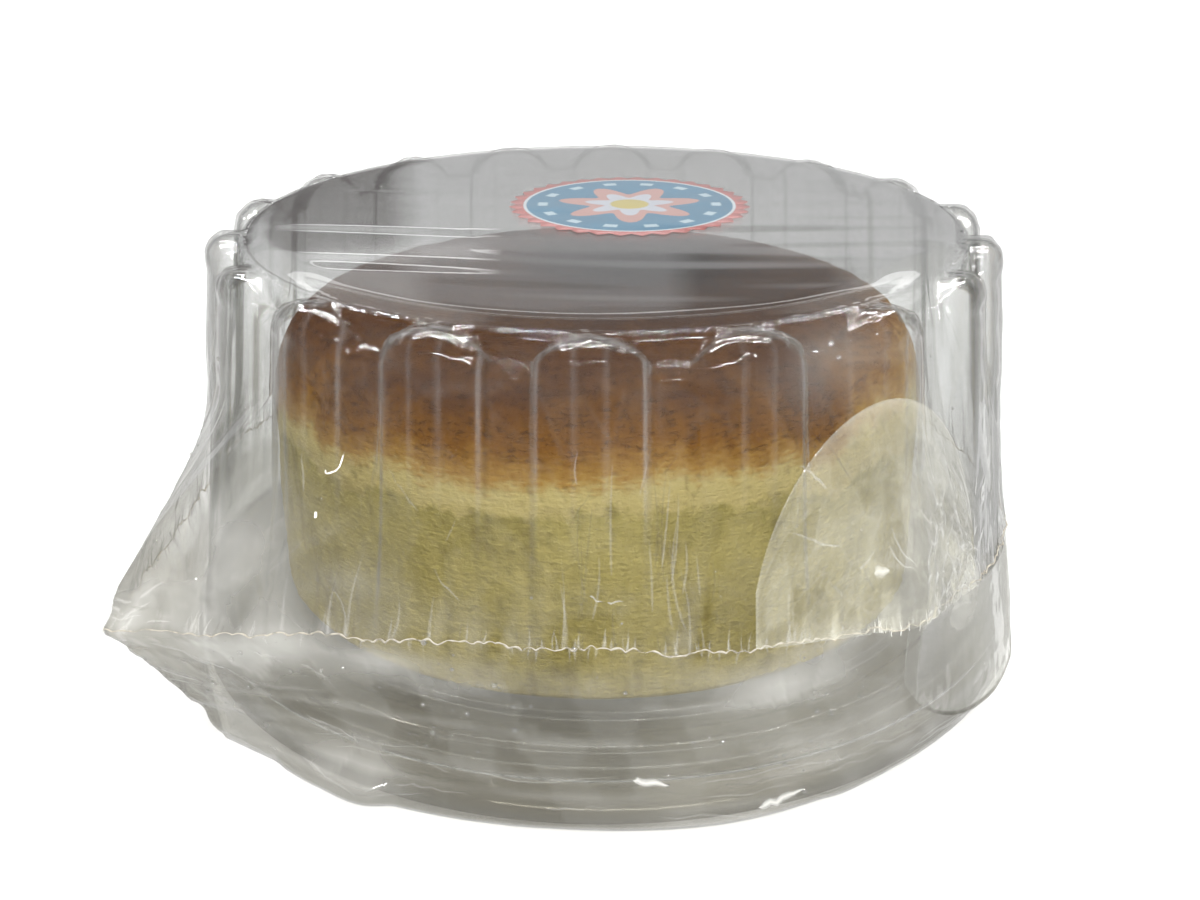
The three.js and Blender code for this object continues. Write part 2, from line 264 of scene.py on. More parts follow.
def swept_points(bearing, radius, height, centre=(0.0, 0.0)):
    """Points x = r sin b, y = -r cos b, z about a centre, as an array of rows by columns by 3."""
    x = centre[0] + radius * np.sin(bearing)
    y = centre[1] - radius * np.cos(bearing)
    return np.stack(np.broadcast_arrays(x, y, height), axis=-1)


def ring_mesh(name, points, top_pole=None, end_pole=None):
    """Mesh of rings that close on themselves, with a fan at each pole that is given. Rows run from the top
    pole outwards and down, so that faces look outwards."""
    rows, columns = points.shape[:2]
    index = np.arange(rows * columns).reshape(rows, columns)
    after = np.roll(index, -1, axis=1)
    quads = np.stack([index[:-1], index[1:], after[1:], after[:-1]], axis=-1).reshape(-1, 4)
    faces = quads.tolist()
    vertices = [points.reshape(-1, 3)]
    if top_pole is not None:
        tip = np.full(columns, rows * columns)
        faces += np.stack([tip, index[0], after[0]], axis=-1).tolist()
        vertices.append(np.array([top_pole]))
    if end_pole is not None:
        tip = np.full(columns, sum(len(part) for part in vertices))
        faces += np.stack([index[-1], tip, after[-1]], axis=-1).tolist()
        vertices.append(np.array([end_pole]))
    return solid_mesh(name, np.concatenate(vertices), faces)


def patch_mesh(name, points):
    """Mesh of an open grid of points, rows by columns by 3."""
    rows, columns = points.shape[:2]
    index = np.arange(rows * columns).reshape(rows, columns)
    quads = np.stack([index[:-1, :-1], index[1:, :-1], index[1:, 1:], index[:-1, 1:]], axis=-1)
    return solid_mesh(name, points.reshape(-1, 3), quads.reshape(-1, 4).tolist())


def solid_mesh(name, vertices, faces):
    """Smooth-shaded mesh from points and faces."""
    mesh = bpy.data.meshes.new(name)
    mesh.from_pydata(vertices.tolist(), [], faces)
    mesh.shade_smooth()
    mesh.update()
    return mesh


def paint(mesh, name, values, pole_values):
    """Stores one number per vertex, with the poles' numbers last, for the material to read."""
    layer = mesh.attributes.new(name, "FLOAT", "POINT")
    layer.data.foreach_set("value", np.append(values.ravel(), pole_values).astype(np.float32))


def add_piece(name, mesh, material, replaced=()):
    """Puts a piece into the scene on the pack's body and hides the solids that it stands for."""
    piece = bpy.data.objects.new(name, mesh)
    bpy.context.scene.collection.objects.link(piece)
    mesh.materials.append(material)
    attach(piece, "root")
    if replaced:
        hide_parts(*replaced)
    return piece


def thicken(piece, thickness):
    """Gives a sheet its thickness, inwards."""
    wall = piece.modifiers.new("Sheet", "SOLIDIFY")
    wall.thickness = thickness
    wall.offset = -1.0


def new_math(tree, operation, values):
    """A Math node on sockets and numbers, as a Socket."""
    node = tree.nodes.new("ShaderNodeMath")
    node.operation = operation
    for socket, value in zip(node.inputs, values):
        plug(tree, socket, value)
    return Socket(tree, node.outputs[0])


def plug(tree, socket, value):
    """Links a Socket to an input, or sets the input's own value."""
    if isinstance(value, Socket):
        tree.links.new(value.output, socket)
    else:
        socket.default_value = value


class Socket:
    """A node's output. Arithmetic on it adds Math nodes to its tree."""

    def __init__(self, tree, output):
        self.tree = tree
        self.output = output

    def __add__(self, other):
        return new_math(self.tree, "ADD", (self, other))

    def __radd__(self, other):
        return new_math(self.tree, "ADD", (other, self))

    def __sub__(self, other):
        return new_math(self.tree, "SUBTRACT", (self, other))

    def __rsub__(self, other):
        return new_math(self.tree, "SUBTRACT", (other, self))

    def __mul__(self, other):
        return new_math(self.tree, "MULTIPLY", (self, other))

    def __rmul__(self, other):
        return new_math(self.tree, "MULTIPLY", (other, self))

    def __truediv__(self, other):
        return new_math(self.tree, "DIVIDE", (self, other))

    def __pow__(self, power):
        return new_math(self.tree, "POWER", (self, power))

    def sine(self):
        return new_math(self.tree, "SINE", (self,))

    def clamped(self):
        """Held between 0 and 1."""
        return new_math(self.tree, "MINIMUM", (new_math(self.tree, "MAXIMUM", (self, 0.0)), 1.0))

    def step(self, low, high):
        """0 at low and below, 1 at high and above, straight between them."""
        return ((self - low) / (high - low)).clamped()


class Finish:
    """A material or a world that is being built from nodes."""

    def __init__(self, name, family="materials"):
        self.owner = getattr(bpy.data, family).new(name)
        self.owner.use_nodes = True
        self.tree = self.owner.node_tree
        self.tree.nodes.clear()

    def node(self, kind, settings=None, sockets=None, output=0):
        """Adds a node: its settings first, then its sockets' values or links. Returns one of its
        outputs."""
        node = self.tree.nodes.new(kind)
        for key, value in (settings or {}).items():
            if key == "stops":
                self.set_stops(node.color_ramp, value)
            else:
                setattr(node, key, value)
        for key, value in (sockets or {}).items():
            plug(self.tree, node.inputs[key], value)
        return Socket(self.tree, node.outputs[output])

    @staticmethod
    def set_stops(ramp, stops):
        """Puts colours on a ramp at their places."""
        while len(ramp.elements) < len(stops):
            ramp.elements.new(1.0)
        for element, (place, colour) in zip(ramp.elements, stops):
            element.position = place
            element.color = (*colour, 1.0)

    def place(self, stretch=(1.0, 1.0, 1.0), shift=(0.0, 0.0, 0.0)):
        """Object coordinates, moved and then stretched along the axes."""
        place = self.node("ShaderNodeTexCoord", output="Object")
        as_point = {"vector_type": "POINT"}
        moved = self.node("ShaderNodeMapping", as_point, {"Vector": place, "Location": shift})
        return self.node("ShaderNodeMapping", as_point, {"Vector": moved, "Scale": stretch})

    def noise(self, scale, detail=3.0, stretch=(1.0, 1.0, 1.0), roughness=0.5):
        """Noise from 0 to 1 with features of about 1 / scale metres."""
        sockets = {"Vector": self.place(stretch), "Scale": scale, "Detail": detail, "Roughness": roughness}
        return self.node("ShaderNodeTexNoise", {}, sockets)

    def attribute(self, name):
        """A number painted on the mesh."""
        return self.node("ShaderNodeAttribute", {"attribute_name": name}, output="Fac")

    def mix(self, share, first, second):
        """Colour between two colours."""
        sockets = {0: share, 6: as_colour(first), 7: as_colour(second)}
        return self.node("ShaderNodeMix", {"data_type": "RGBA"}, sockets, output=2)

    def bump(self, height, distance, strength=1.0):
        """A normal from a height map."""
        sockets = {"Height": height, "Distance": distance, "Strength": strength}
        return self.node("ShaderNodeBump", {}, sockets)

    def blend(self, share, first, second):
        """Mix of two shaders."""
        return self.node("ShaderNodeMixShader", {}, {0: share, 1: first, 2: second})

    def finished(self, shader):
        """Connects the shader to the output and returns the material or world."""
        family = "World" if isinstance(self.owner, bpy.types.World) else "Material"
        output = self.tree.nodes.new("ShaderNodeOutput" + family)
        self.tree.links.new(shader.output, output.inputs["Surface"])
        return self.owner


def as_colour(value):
    """A colour with full alpha, or a Socket as it is."""
    return value if isinstance(value, Socket) else (*value, 1.0)


# Clear sheet: colours of its shade and its milk, what a grazing view adds to shade, milk and mirror, and
# the most that it mirrors
SMOKE = (0.505, 0.495, 0.455)
SHEET_HAZE = (0.55, 0.555, 0.55)
GRAZING_SHADE = 0.12
GRAZING_MILK = 0.10
GRAZING_MIRROR = 1.48
MIRROR_LIMIT = 0.42


def clear_finish(finish, tint, milk, shade, gloss, roughness, normal=None, haze=SHEET_HAZE):
    """Clear plastic sheet: light goes straight through with a tint, or with a darker one by the share of
    shade, which grows towards grazing view by (1 - cos)^3. A share of milk scatters it, and a mirrored
    share grows towards grazing view by (1 - cos)^5, up to a limit."""
    facing = finish.node("ShaderNodeLayerWeight", {}, {"Blend": 0.5}, output="Facing")
    clear = finish.node("ShaderNodeBsdfTransparent", {}, {"Color": (*tint, 1.0)})
    smoke = finish.node("ShaderNodeBsdfTransparent", {}, {"Color": (*SMOKE, 1.0)})
    scatter = finish.node("ShaderNodeBsdfDiffuse", {}, {"Color": (*haze, 1.0)})
    polish = {"Roughness": roughness}
    if normal:
        polish["Normal"] = normal
    mirror = finish.node("ShaderNodeBsdfGlossy", {}, polish)
    through = finish.blend((shade + GRAZING_SHADE * facing ** 3).clamped(), clear, smoke)
    body = finish.blend((milk + GRAZING_MILK * facing ** 4).clamped(), through, scatter)
    share = new_math(finish.tree, "MINIMUM", (gloss + GRAZING_MIRROR * facing ** 5, MIRROR_LIMIT))
    return finish.finished(finish.blend(share, body, mirror))


def dome_finish():
    """Stiff clear sheet of the dome: painted highlight lines on the crests of the flutes, painted shade
    lines in their feet, and upright scuffs."""
    settings = pack_settings()
    finish = Finish("clear_dome")
    scuff = finish.noise(420.0, detail=2.0, stretch=(1.0, 1.0, 0.15))
    milk = finish.attribute("milk") * (0.4 + scuff) + scuff * 0.006
    return clear_finish(finish, settings.dome_tint, milk, finish.attribute("shade"), 0.0, 0.05)


def tray_finish():
    """Stiff clear sheet of the tray: painted highlight lines along its bends and a faint cloudiness."""
    settings = pack_settings()
    finish = Finish("clear_tray")
    cloud = finish.noise(55.0, detail=3.0)
    milk = finish.attribute("milk") * 0.8 + cloud * 0.05
    return clear_finish(finish, settings.tray_tint, milk, finish.attribute("shade"), 0.012, 0.10)


def film_finish(name, tint, gloss, haze):
    """Thin crinkled film: milk and shade are painted on the mesh, with haze, painted highlights and painted
    shade among them; a crumpled bump breaks up reflections, and the film mirrors more where it is crumpled
    than where it lies flat."""
    finish = Finish(name)
    crumple = finish.noise(150.0, detail=1.0)
    crumpled = finish.attribute("crumple")
    milk = finish.attribute("milk") + crumple * 0.012
    normal = finish.bump(crumple * crumpled, 0.35 * MM)
    mirrored = crumpled * gloss
    return clear_finish(finish, tint, milk, finish.attribute("shade"), mirrored, 0.015, normal, haze)


# How far round the skin's edge the colours of skin and crumb can reach into each other
CRUMB_REACH = 12 * MM
# Browning of the crown, a little short of the darkest so that it shows mottles
CROWN_BROWNING = 0.84
# Height over the skin's edge that would brown it to 1
BROWNING_REACH = 30 * MM


def cake_profile():
    """Outline of the cake from the crown's middle to the underside: a flat crown that drops by the fourth
    power of the radius, a superellipse shoulder, a nearly upright side and a small foot. Returns radii and
    heights."""
    crown_radius = 74 * MM
    crown_drop = 5.2 * MM
    side_top = 66 * MM
    roundness = 2 / 2.25
    foot = 1.2 * MM
    crown_r = crown_radius * np.linspace(0.03, 1.0, 26)
    crown_z = CAKE_TOP - crown_drop * (crown_r / crown_radius) ** 4
    turn = np.linspace(0.0, math.pi / 2, 46)[1:-1]
    shoulder_r = crown_radius + (CAKE_RADIUS - crown_radius) * np.sin(turn) ** roundness
    shoulder_z = side_top + (crown_z[-1] - side_top) * np.cos(turn) ** roundness
    side_z = np.linspace(side_top, CAKE_BASE + foot, 62)
    side_r = np.full_like(side_z, CAKE_RADIUS)
    under_r = np.array([
        CAKE_RADIUS - 0.4 * foot, CAKE_RADIUS - 1.6 * foot, 0.9 * CAKE_RADIUS, 0.5 * CAKE_RADIUS])
    under_z = np.array([CAKE_BASE + 0.4 * foot, CAKE_BASE, CAKE_BASE, CAKE_BASE])
    radius = np.concatenate([crown_r, shoulder_r, side_r, under_r])
    height = np.concatenate([crown_z, shoulder_z, side_z, under_z])
    return radius, height


def skin_edge(bearing):
    """Height of the skin's ragged lower edge: a wave, lower at the sides than at front and back, with small
    tears."""
    turn = bearing / FULL_TURN
    sag = 2.5 * (1 - np.cos(2 * bearing))
    wave = np.sin(5 * bearing + 0.8) + 0.6 * np.sin(13 * bearing + 2.1)
    tears = lattice_noise(turn, 0 * turn, 60, 1, 11) + 0.7 * lattice_noise(turn, 0 * turn, 170, 1, 12)
    return cake_settings().skin_edge + MM * (1.1 * wave + 1.5 * tears - sag)


def make_cake_mesh():
    """Cake surface: the profile swept round, moved along its own normal by fine wrinkles and pores on the
    skin and by upright tears, pits and lumps in the torn crumb below the skin's edge."""
    settings = cake_settings()
    radius, height = cake_profile()
    length = np.concatenate([[0.0], np.cumsum(np.hypot(np.diff(radius), np.diff(height)))])
    slope = np.stack([np.gradient(radius, length), np.gradient(height, length)])
    columns = 720
    bearing = around(columns)[None, :]
    turn = np.broadcast_to(bearing / FULL_TURN, (len(radius), columns))
    down = np.broadcast_to((length / length[-1])[:, None], turn.shape)
    r = radius[:, None]
    z = height[:, None]
    edge = skin_edge(bearing)
    torn = smooth_step(edge - z, -1.2 * MM, 1.2 * MM) * (z > CAKE_BASE)
    tears = lattice_noise(turn, down, 150, 6, 21) + 0.6 * lattice_noise(turn, down, 330, 9, 22)
    pits = lattice_noise(turn, down, 420, 110, 23)
    lumps = lattice_noise(turn, down, 34, 14, 24)
    rough = 0.7 * tears + 0.45 * pits + 0.8 * lumps
    under_lip = np.exp(-np.abs(edge - z - 2 * MM) / (2 * MM)) * smooth_step(pits + tears, 0.2, 0.9)
    crumb = settings.crumb_relief * (rough - 1.4 * under_lip)
    wide_x = 0.5 + r * np.sin(bearing) / (4 * CAKE_RADIUS)
    wide_y = 0.5 + r * np.cos(bearing) / (4 * CAKE_RADIUS)
    dimples = lattice_noise(wide_x, wide_y, 60, 60, 25) + 0.6 * lattice_noise(wide_x, wide_y, 150, 150, 26)
    on_side = smooth_step(r, 0.55 * CAKE_RADIUS, 0.85 * CAKE_RADIUS)
    wrinkles = lattice_noise(turn, down, 90, 100, 27) * on_side
    pores = smooth_step(lattice_noise(turn, down, 400, 130, 28), 0.5, 0.85) * on_side
    skin = MM * (0.14 * dimples + 0.13 * wrinkles - 0.35 * pores)
    relief = (1 - torn) * skin + torn * (crumb - settings.overhang)
    relief = relief * smooth_step(z, CAKE_BASE, CAKE_BASE + 2 * MM)
    shift_r = -slope[1][:, None] * relief
    shift_z = slope[0][:, None] * relief
    points = swept_points(bearing, r + shift_r, z + shift_z, CAKE_CENTRE)
    blotch = lattice_noise(turn, down, 26, 16, 29) + 0.5 * lattice_noise(turn, down, 80, 40, 30)
    at_rim = smooth_step(r, 0.7 * CAKE_RADIUS, 0.97 * CAKE_RADIUS)
    # The right side's rim browns less: partly the skin's own paler tone and partly painted reflection of
    # the film over it
    paler = 1 - 0.5 * smooth_step(np.sin(bearing), 0.55, 0.9) * at_rim
    over_edge = paler * (z - edge + MM * 1.6 * blotch) / BROWNING_REACH
    browning = np.clip(over_edge, 0.0, CROWN_BROWNING) * (z > CAKE_BASE)
    below = np.clip((edge - z) / CRUMB_REACH, -1.0, 1.0)
    # Painted shade: darker in the torn crumb's hollows, under the skin's lip and in the skin's pores
    cavity = torn * (smooth_step(-rough, 0.1, 1.1) + 0.3 * under_lip) + (1 - torn) * pores
    top_pole = (*CAKE_CENTRE, CAKE_TOP)
    end_pole = (*CAKE_CENTRE, CAKE_BASE)
    mesh = ring_mesh("cake", points, top_pole, end_pole)
    paint(mesh, "browning", browning, (CROWN_BROWNING, 0.0))
    paint(mesh, "below", np.broadcast_to(below, turn.shape), (-1.0, 1.0))
    paint(mesh, "cavity", np.clip(cavity, 0.0, 1.0), (0.0, 0.0))
    return mesh


def cake_finish():
    """Baked cake: a browning ramp from cream to dark brown on the skin with fine cracks and pores, painted
    shade in the pores and in the crumb's hollows, and moist yellow crumb with upright smears where the skin
    is torn away along a flaky edge."""
    settings = cake_settings()
    finish = Finish("baked_cake")
    browning = finish.attribute("browning")
    below = finish.attribute("below")
    cavity = finish.attribute("cavity")
    grain = finish.noise(900.0, detail=4.0)
    wrinkle = finish.noise(260.0, detail=4.0, stretch=(1.0, 1.0, 4.5))
    patch = finish.noise(48.0, detail=4.0, roughness=0.6)
    tone = browning + 0.12 * (grain - 0.5) + 0.2 * (wrinkle - 0.5) + 0.3 * (patch - 0.5)
    pit_and_crack_dark = (0.05, 0.025, 0.006)
    skin = finish.node("ShaderNodeValToRGB", {"stops": [
        (0.0, settings.cream_colour), (0.16, settings.cream_colour), (0.30, settings.amber_colour),
        (0.50, settings.brown_colour), (0.86, settings.crown_colour)]}, {"Fac": tone.clamped()})
    vein = finish.noise(330.0, detail=3.0, stretch=(1.0, 1.0, 2.6))
    crack = 1.0 - new_math(finish.tree, "ABSOLUTE", (vein - 0.5,)).step(0.004, 0.045)
    crack = crack * wrinkle.step(0.45, 0.62) * browning.step(0.28, 0.5)
    smear = finish.noise(330.0, detail=3.0, stretch=(1.0, 1.0, 0.12))
    speck = finish.noise(700.0, detail=3.0)
    moist = (0.8 * (smear - 0.5) + 3.2 * (patch - 0.5) + 0.8 * (speck - 0.5) + 0.46).clamped()
    crumb = finish.mix(moist, settings.crumb_colour, settings.shade_colour)
    flake = finish.noise(230.0, detail=3.0, roughness=0.6)
    torn = (below + 0.8 * (flake - 0.5) + 0.5 * (patch - 0.5)).step(-0.06, 0.13)
    colour = finish.mix(torn, skin, crumb)
    dark = finish.mix(0.5, colour, pit_and_crack_dark)
    # Hollows, lip and pores darkened as painted shade, and the cracks darkened too
    colour = finish.mix((cavity * 0.55 + crack * 0.9).clamped(), colour, dark)
    height = grain * 0.6 + wrinkle * 0.5 - crack * 0.4 + smear * torn * 0.5 + flake * torn * 0.15
    shader = finish.node("ShaderNodeBsdfPrincipled", {}, {
        "Base Color": colour, "Roughness": 0.78 - 0.2 * torn, "Normal": finish.bump(height, 0.9 * MM),
        "Specular IOR Level": 0.0})
    return finish.finished(shader)


def tray_profile():
    """Outline of the tray's upper face: cake seat, groove, raised ring, dome ledge and skirt, with rounded
    corners. Returns radii, heights and how bent the outline is."""
    ring_low = 102 * MM
    ring_high = 108 * MM
    groove = 1.5 * MM
    ledge = DOME_FOOT - 0.4 * MM
    corners = np.array([
        (30 * MM, PLATFORM), (60 * MM, PLATFORM), (94 * MM, PLATFORM), (95.5 * MM, PLATFORM - groove),
        (ring_low - 2 * MM, PLATFORM - groove), (ring_low, PLATFORM), (ring_high, PLATFORM),
        (ring_high + 1.6 * MM, PLATFORM - 1 * MM), (ring_high + 2.4 * MM, ledge),
        (TRAY_RADIUS - 0.4 * MM, ledge), (TRAY_RADIUS, TRAY_LOW[2])])
    return rounded_outline(corners, 0.5 * MM)


def rounded_outline(corners, bend):
    """Outline through corners, each inner corner replaced by a quadratic curve that starts and ends a
    bend's length away from it. Returns radii, heights and how bent the outline is, from 0 to 1."""
    before = corners[:-2]
    at = corners[1:-1]
    after = corners[2:]
    start = at + (before - at) * (bend / np.linalg.norm(before - at, axis=1))[:, None]
    end = at + (after - at) * (bend / np.linalg.norm(after - at, axis=1))[:, None]
    t = np.linspace(0.0, 1.0, 5)[None, :, None]
    curve = (1 - t) ** 2 * start[:, None] + 2 * t * (1 - t) * at[:, None] + t ** 2 * end[:, None]
    outline = np.concatenate([corners[:1], curve.reshape(-1, 2), corners[-1:]])
    before_way = (at - before) / np.linalg.norm(at - before, axis=1)[:, None]
    after_way = (after - at) / np.linalg.norm(after - at, axis=1)[:, None]
    sharp = np.clip(np.linalg.norm(after_way - before_way, axis=1), 0.0, 1.0)
    bent = (sharp[:, None] * np.sin(math.pi * np.linspace(0.0, 1.0, 5))[None, :]).ravel()
    return outline[:, 0], outline[:, 1], np.concatenate([[0.0], bent, [0.0]])


# Dome: its shoulder's radius, its wall's slope, and the top's outer radius before the flutes
DOME_SHOULDER = 9.7 * MM
DOME_DRAFT = 0.11
DOME_TOP_RADIUS = 104.9 * MM
SHOULDER_FOOT = DOME_TOP - DOME_SHOULDER
FLAT_EDGE = DOME_TOP_RADIUS - DOME_SHOULDER
# Rim of the top, and how far the top falls from there to the shoulder
RIM_RADIUS = 88 * MM
RIM_DROP = 0.9 * MM
# Half of a lobe, the step at its edge, half of its rib, and the width of the painted lines along them
LOBE_HALF = math.radians(6.4)
LOBE_STEP = math.radians(1.5)
RIB_EDGE = math.radians(1.9)
LINE_WIDTH = math.radians(0.25)
RIB_LINE_WIDTH = math.radians(0.22)
# Share of the flute's depth that the rounding of a lobe takes
LOBE_ROUND = 0.35
# How much deeper the flutes are half-way round the shoulder
LOBE_BOOST = 0.45
# How far the lobes puff out over the shoulder
LOBE_PUFF = 2.4 * MM
# Heights between which lobes show on the film's wall
LOBE_FADE = (62 * MM, 92 * MM)


def lobe_turn(bearing):
    """Turn from the nearest lobe's middle, without its sign."""
    settings = pack_settings()
    pitch = FULL_TURN / settings.flutes
    off = bearing - settings.flute_phase
    return np.abs(off - pitch * np.round(off / pitch))


def flute_recess(bearing, arch):
    """Share of the flute's depth at a bearing: 0 on a lobe's middle, rising by the square of the turn to
    the lobe's edge, then by a step to 1 on the panel between lobes. arch narrows the lobe towards its
    rounded top."""
    edge = LOBE_HALF * arch
    turn = lobe_turn(bearing)
    step = smooth_step(turn, edge - 0.1 * LOBE_STEP, edge + LOBE_STEP)
    return LOBE_ROUND * np.clip(turn / edge, 0.0, 1.0) ** 2 + (1 - LOBE_ROUND) * step


def lobe_arch(share):
    """Width of a lobe along the shoulder's share 0..1, as a share of its full width: a round arch,
    (1 - (1 - t)^2)^0.5, that starts a little way down."""
    t = np.clip((share - 0.12) / 0.5, 0.02, 1.0)
    return np.sqrt(1 - (1 - t) ** 2)


def lobe_growth(share):
    """Share of the flute's depth along the shoulder's share 0..1: a soft start and a deeper middle."""
    return smooth_step(share, 0.05, 0.4) * (1 + LOBE_BOOST * np.sin(math.pi * share))


def lobe_puff(bearing, share):
    """How far a lobe stands out over the plain shoulder, along the shoulder's share 0..1: across the lobe a
    hump cos(pi t / 2), highest half-way down, and lower at the back, where the film is tauter."""
    across = np.clip(lobe_turn(bearing) / ((LOBE_HALF + LOBE_STEP) * lobe_arch(share)), 0.0, 1.0)
    along = smooth_step(share, 0.1, 0.5) * (1 - 0.6 * smooth_step(share, 0.6, 1.0))
    taut = 1 - 0.65 * near_bearing(bearing, 180, 55)
    return LOBE_PUFF * taut * along * np.cos(math.pi / 2 * across)


def wall_puff(bearing, z):
    """What is left of the lobes' puff on the wall, fading downwards."""
    return lobe_puff(bearing, 1.0) * smooth_step(z, *LOBE_FADE)


def painted_flute_line(bearing, arch, place, width):
    """Painted line along a flute's step, for the highlights on the crests and the shade in the feet:
    exp(-(distance / width)^2) from a place on the step, 0 at its crest and 1 at its foot. Each step has its
    own strength from a seeded draw."""
    off = lobe_turn(bearing) - LOBE_HALF * arch - place * LOBE_STEP
    count = 2 * pack_settings().flutes
    strength = np.random.default_rng(17).random(count) ** 2
    step = np.floor((bearing - pack_settings().flute_phase) * count / FULL_TURN).astype(int) % count
    return strength[step] * np.exp(-((off / width) ** 2))


def lobe_rib(bearing):
    """Low flat rib up the middle of each lobe, from 0 beside it to 1 on it."""
    return 1.0 - smooth_step(lobe_turn(bearing), RIB_EDGE - LOBE_STEP / 5, RIB_EDGE + LOBE_STEP / 5)


def dome_wall(z):
    """Radius of the dome's lobes at a height: the draft widens it downwards."""
    return DOME_TOP_RADIUS + DOME_DRAFT * (SHOULDER_FOOT - z)


def rim_slope(r):
    """How far the top lies lower outside its rim: an even slope that starts in a soft bend,
    c (s + (s^2 + w^2)^0.5) / 2 with s the way past the rim."""
    past = r - RIM_RADIUS
    bend = 1.2 * MM
    fall = RIM_DROP / (FLAT_EDGE - RIM_RADIUS)
    return fall * (past + np.hypot(past, bend)) / 2


def flute_density(turn):
    """How closely the dome's columns stand at a turn from a lobe's middle: bumps exp(-d^2) on the flute's
    step and on the rib's edge over an even 1."""
    at_step = creases(np.abs(turn) - (LOBE_HALF + LOBE_STEP / 2), LOBE_STEP)
    at_rib = creases(np.abs(turn) - RIB_EDGE, LOBE_STEP / 3)
    return 1 + 5 * at_step + 3 * at_rib


def make_dome_mesh():
    """Dome surface: a flat top, a quarter-round shoulder where arched lobes grow out of the recessed wall,
    the fluted wall with its draft, and a foot flange. Recesses lie along the profile's own normal. Painted
    highlight lines along the flutes' crests and painted shade lines in their feet are stored as milk and
    shade, with a painted highlight line and a painted shade line on the flange."""
    settings = pack_settings()
    pitch = FULL_TURN / settings.flutes
    one_flute = crowded(-pitch / 2, pitch / 2, 42, flute_density)
    flute = np.arange(settings.flutes)[:, None]
    bearing = (settings.flute_phase + one_flute + pitch * flute).reshape(1, -1)
    inner_r = RIM_RADIUS * np.linspace(0.1, 0.95, 7)
    outer_r = np.linspace(RIM_RADIUS - 2 * MM, FLAT_EDGE, 8)
    flat_r = np.append(inner_r, outer_r)[:, None]
    x = 0.5 + flat_r * np.sin(bearing) / (4 * FLAT_EDGE)
    y = 0.5 + flat_r * np.cos(bearing) / (4 * FLAT_EDGE)
    sway = 1.0 - lattice_noise(x, y, 9, 9, 41)
    inside = smooth_step(1 - flat_r / FLAT_EDGE, 0, 0.2)
    flat = swept_points(bearing, flat_r, DOME_TOP - 0.12 * MM * sway * inside - rim_slope(flat_r))
    turn = np.linspace(0.0, math.pi / 2, 27)[1:, None]
    share = turn / (math.pi / 2)
    arch = lobe_arch(share)
    growth = lobe_growth(share)
    rib = settings.rib_height * lobe_rib(bearing)
    deep = settings.flute_depth * flute_recess(bearing, arch) * growth
    deep = deep - rib * smooth_step(share, 0.35, 0.8) - lobe_puff(bearing, share)
    shoulder = swept_points(
        bearing, FLAT_EDGE + (DOME_SHOULDER - deep) * np.sin(turn),
        SHOULDER_FOOT + (DOME_SHOULDER - rim_slope(FLAT_EDGE) - deep) * np.cos(turn))
    wall_z = np.linspace(SHOULDER_FOOT, DOME_FOOT + settings.sheet, 20)[1:, None]
    fade = smooth_step(wall_z, 25 * MM, 70 * MM)
    wall_r = dome_wall(wall_z) + fade * (rib - settings.flute_depth * flute_recess(bearing, 1.0))
    wall_r = wall_r + wall_puff(bearing, wall_z)
    wall = swept_points(bearing, wall_r, wall_z)
    foot_start = dome_wall(DOME_FOOT)
    foot_r = foot_start + np.array([0.3, 0.6, 1.0])[:, None] * (FLANGE_RADIUS - foot_start)
    foot = swept_points(bearing, foot_r, DOME_FOOT + settings.sheet)
    points = np.concatenate([flat, shoulder, wall, foot])
    mesh = ring_mesh("dome_lid", points, (0.0, 0.0, DOME_TOP - 0.18 * MM))
    fade_down = fade * (0.05 + 0.95 * smooth_step(wall_z, 64 * MM, 92 * MM))
    reach = np.concatenate([0 * flat_r, np.minimum(growth, 1.0), fade_down, 0 * foot_r])
    arches = np.concatenate([1 + 0 * flat_r, arch, 1 + 0 * wall_z, 1 + 0 * foot_r])
    # Painted highlights: pale lines along the flutes' crests and the ribs' edges, fading downwards
    rib_highlight_line = creases(lobe_turn(bearing) - RIB_EDGE, RIB_LINE_WIDTH)
    crest = 0.34 * painted_flute_line(bearing, arches, 0.1, LINE_WIDTH) + 0.06 * rib_highlight_line * (arches > 0.9)
    plain = [0 * flat_r, 0 * share, 0 * wall_z]
    # Painted highlight line at the flange's outer edge and painted shade line in its middle; the flange is
    # flat, without a groove
    flange = np.concatenate([*plain, np.array([[0.05], [0.10], [0.45]])])
    groove = np.concatenate([*plain, np.array([[0.1], [0.5], [0.1]])])
    paint(mesh, "milk", reach * crest + flange + 0 * bearing, (0.0,))
    # Painted shade: dark lines in the flutes' feet
    foot_shade_line = 0.6 * painted_flute_line(bearing + pitch / 4, arches, 0.95, LINE_WIDTH)
    paint(mesh, "shade", reach * foot_shade_line + groove, (0.0,))
    return mesh


def make_label_mesh():
    """Round sticker: rings out to a pinked edge of pointed teeth, r = R - tooth |saw(36 b)|, and a flat
    underside."""
    teeth = 36
    tooth = 2.0 * MM
    top = DOME_TOP + 0.20 * MM
    bottom = DOME_TOP + 0.08 * MM
    bearing = around(teeth * 12)[None, :]
    saw = np.abs((bearing * teeth / FULL_TURN) % 1.0 - 0.5) * 2.0
    outer = LABEL_RADIUS - tooth * saw
    share = np.append(np.linspace(0.1, 1.0, 10), [1.0, 0.5])[:, None]
    height = np.append(np.full(10, top), [bottom, bottom])[:, None]
    points = swept_points(bearing, outer * share, height, LABEL_CENTRE)
    return ring_mesh("label", points, (*LABEL_CENTRE, top), (*LABEL_CENTRE, bottom))


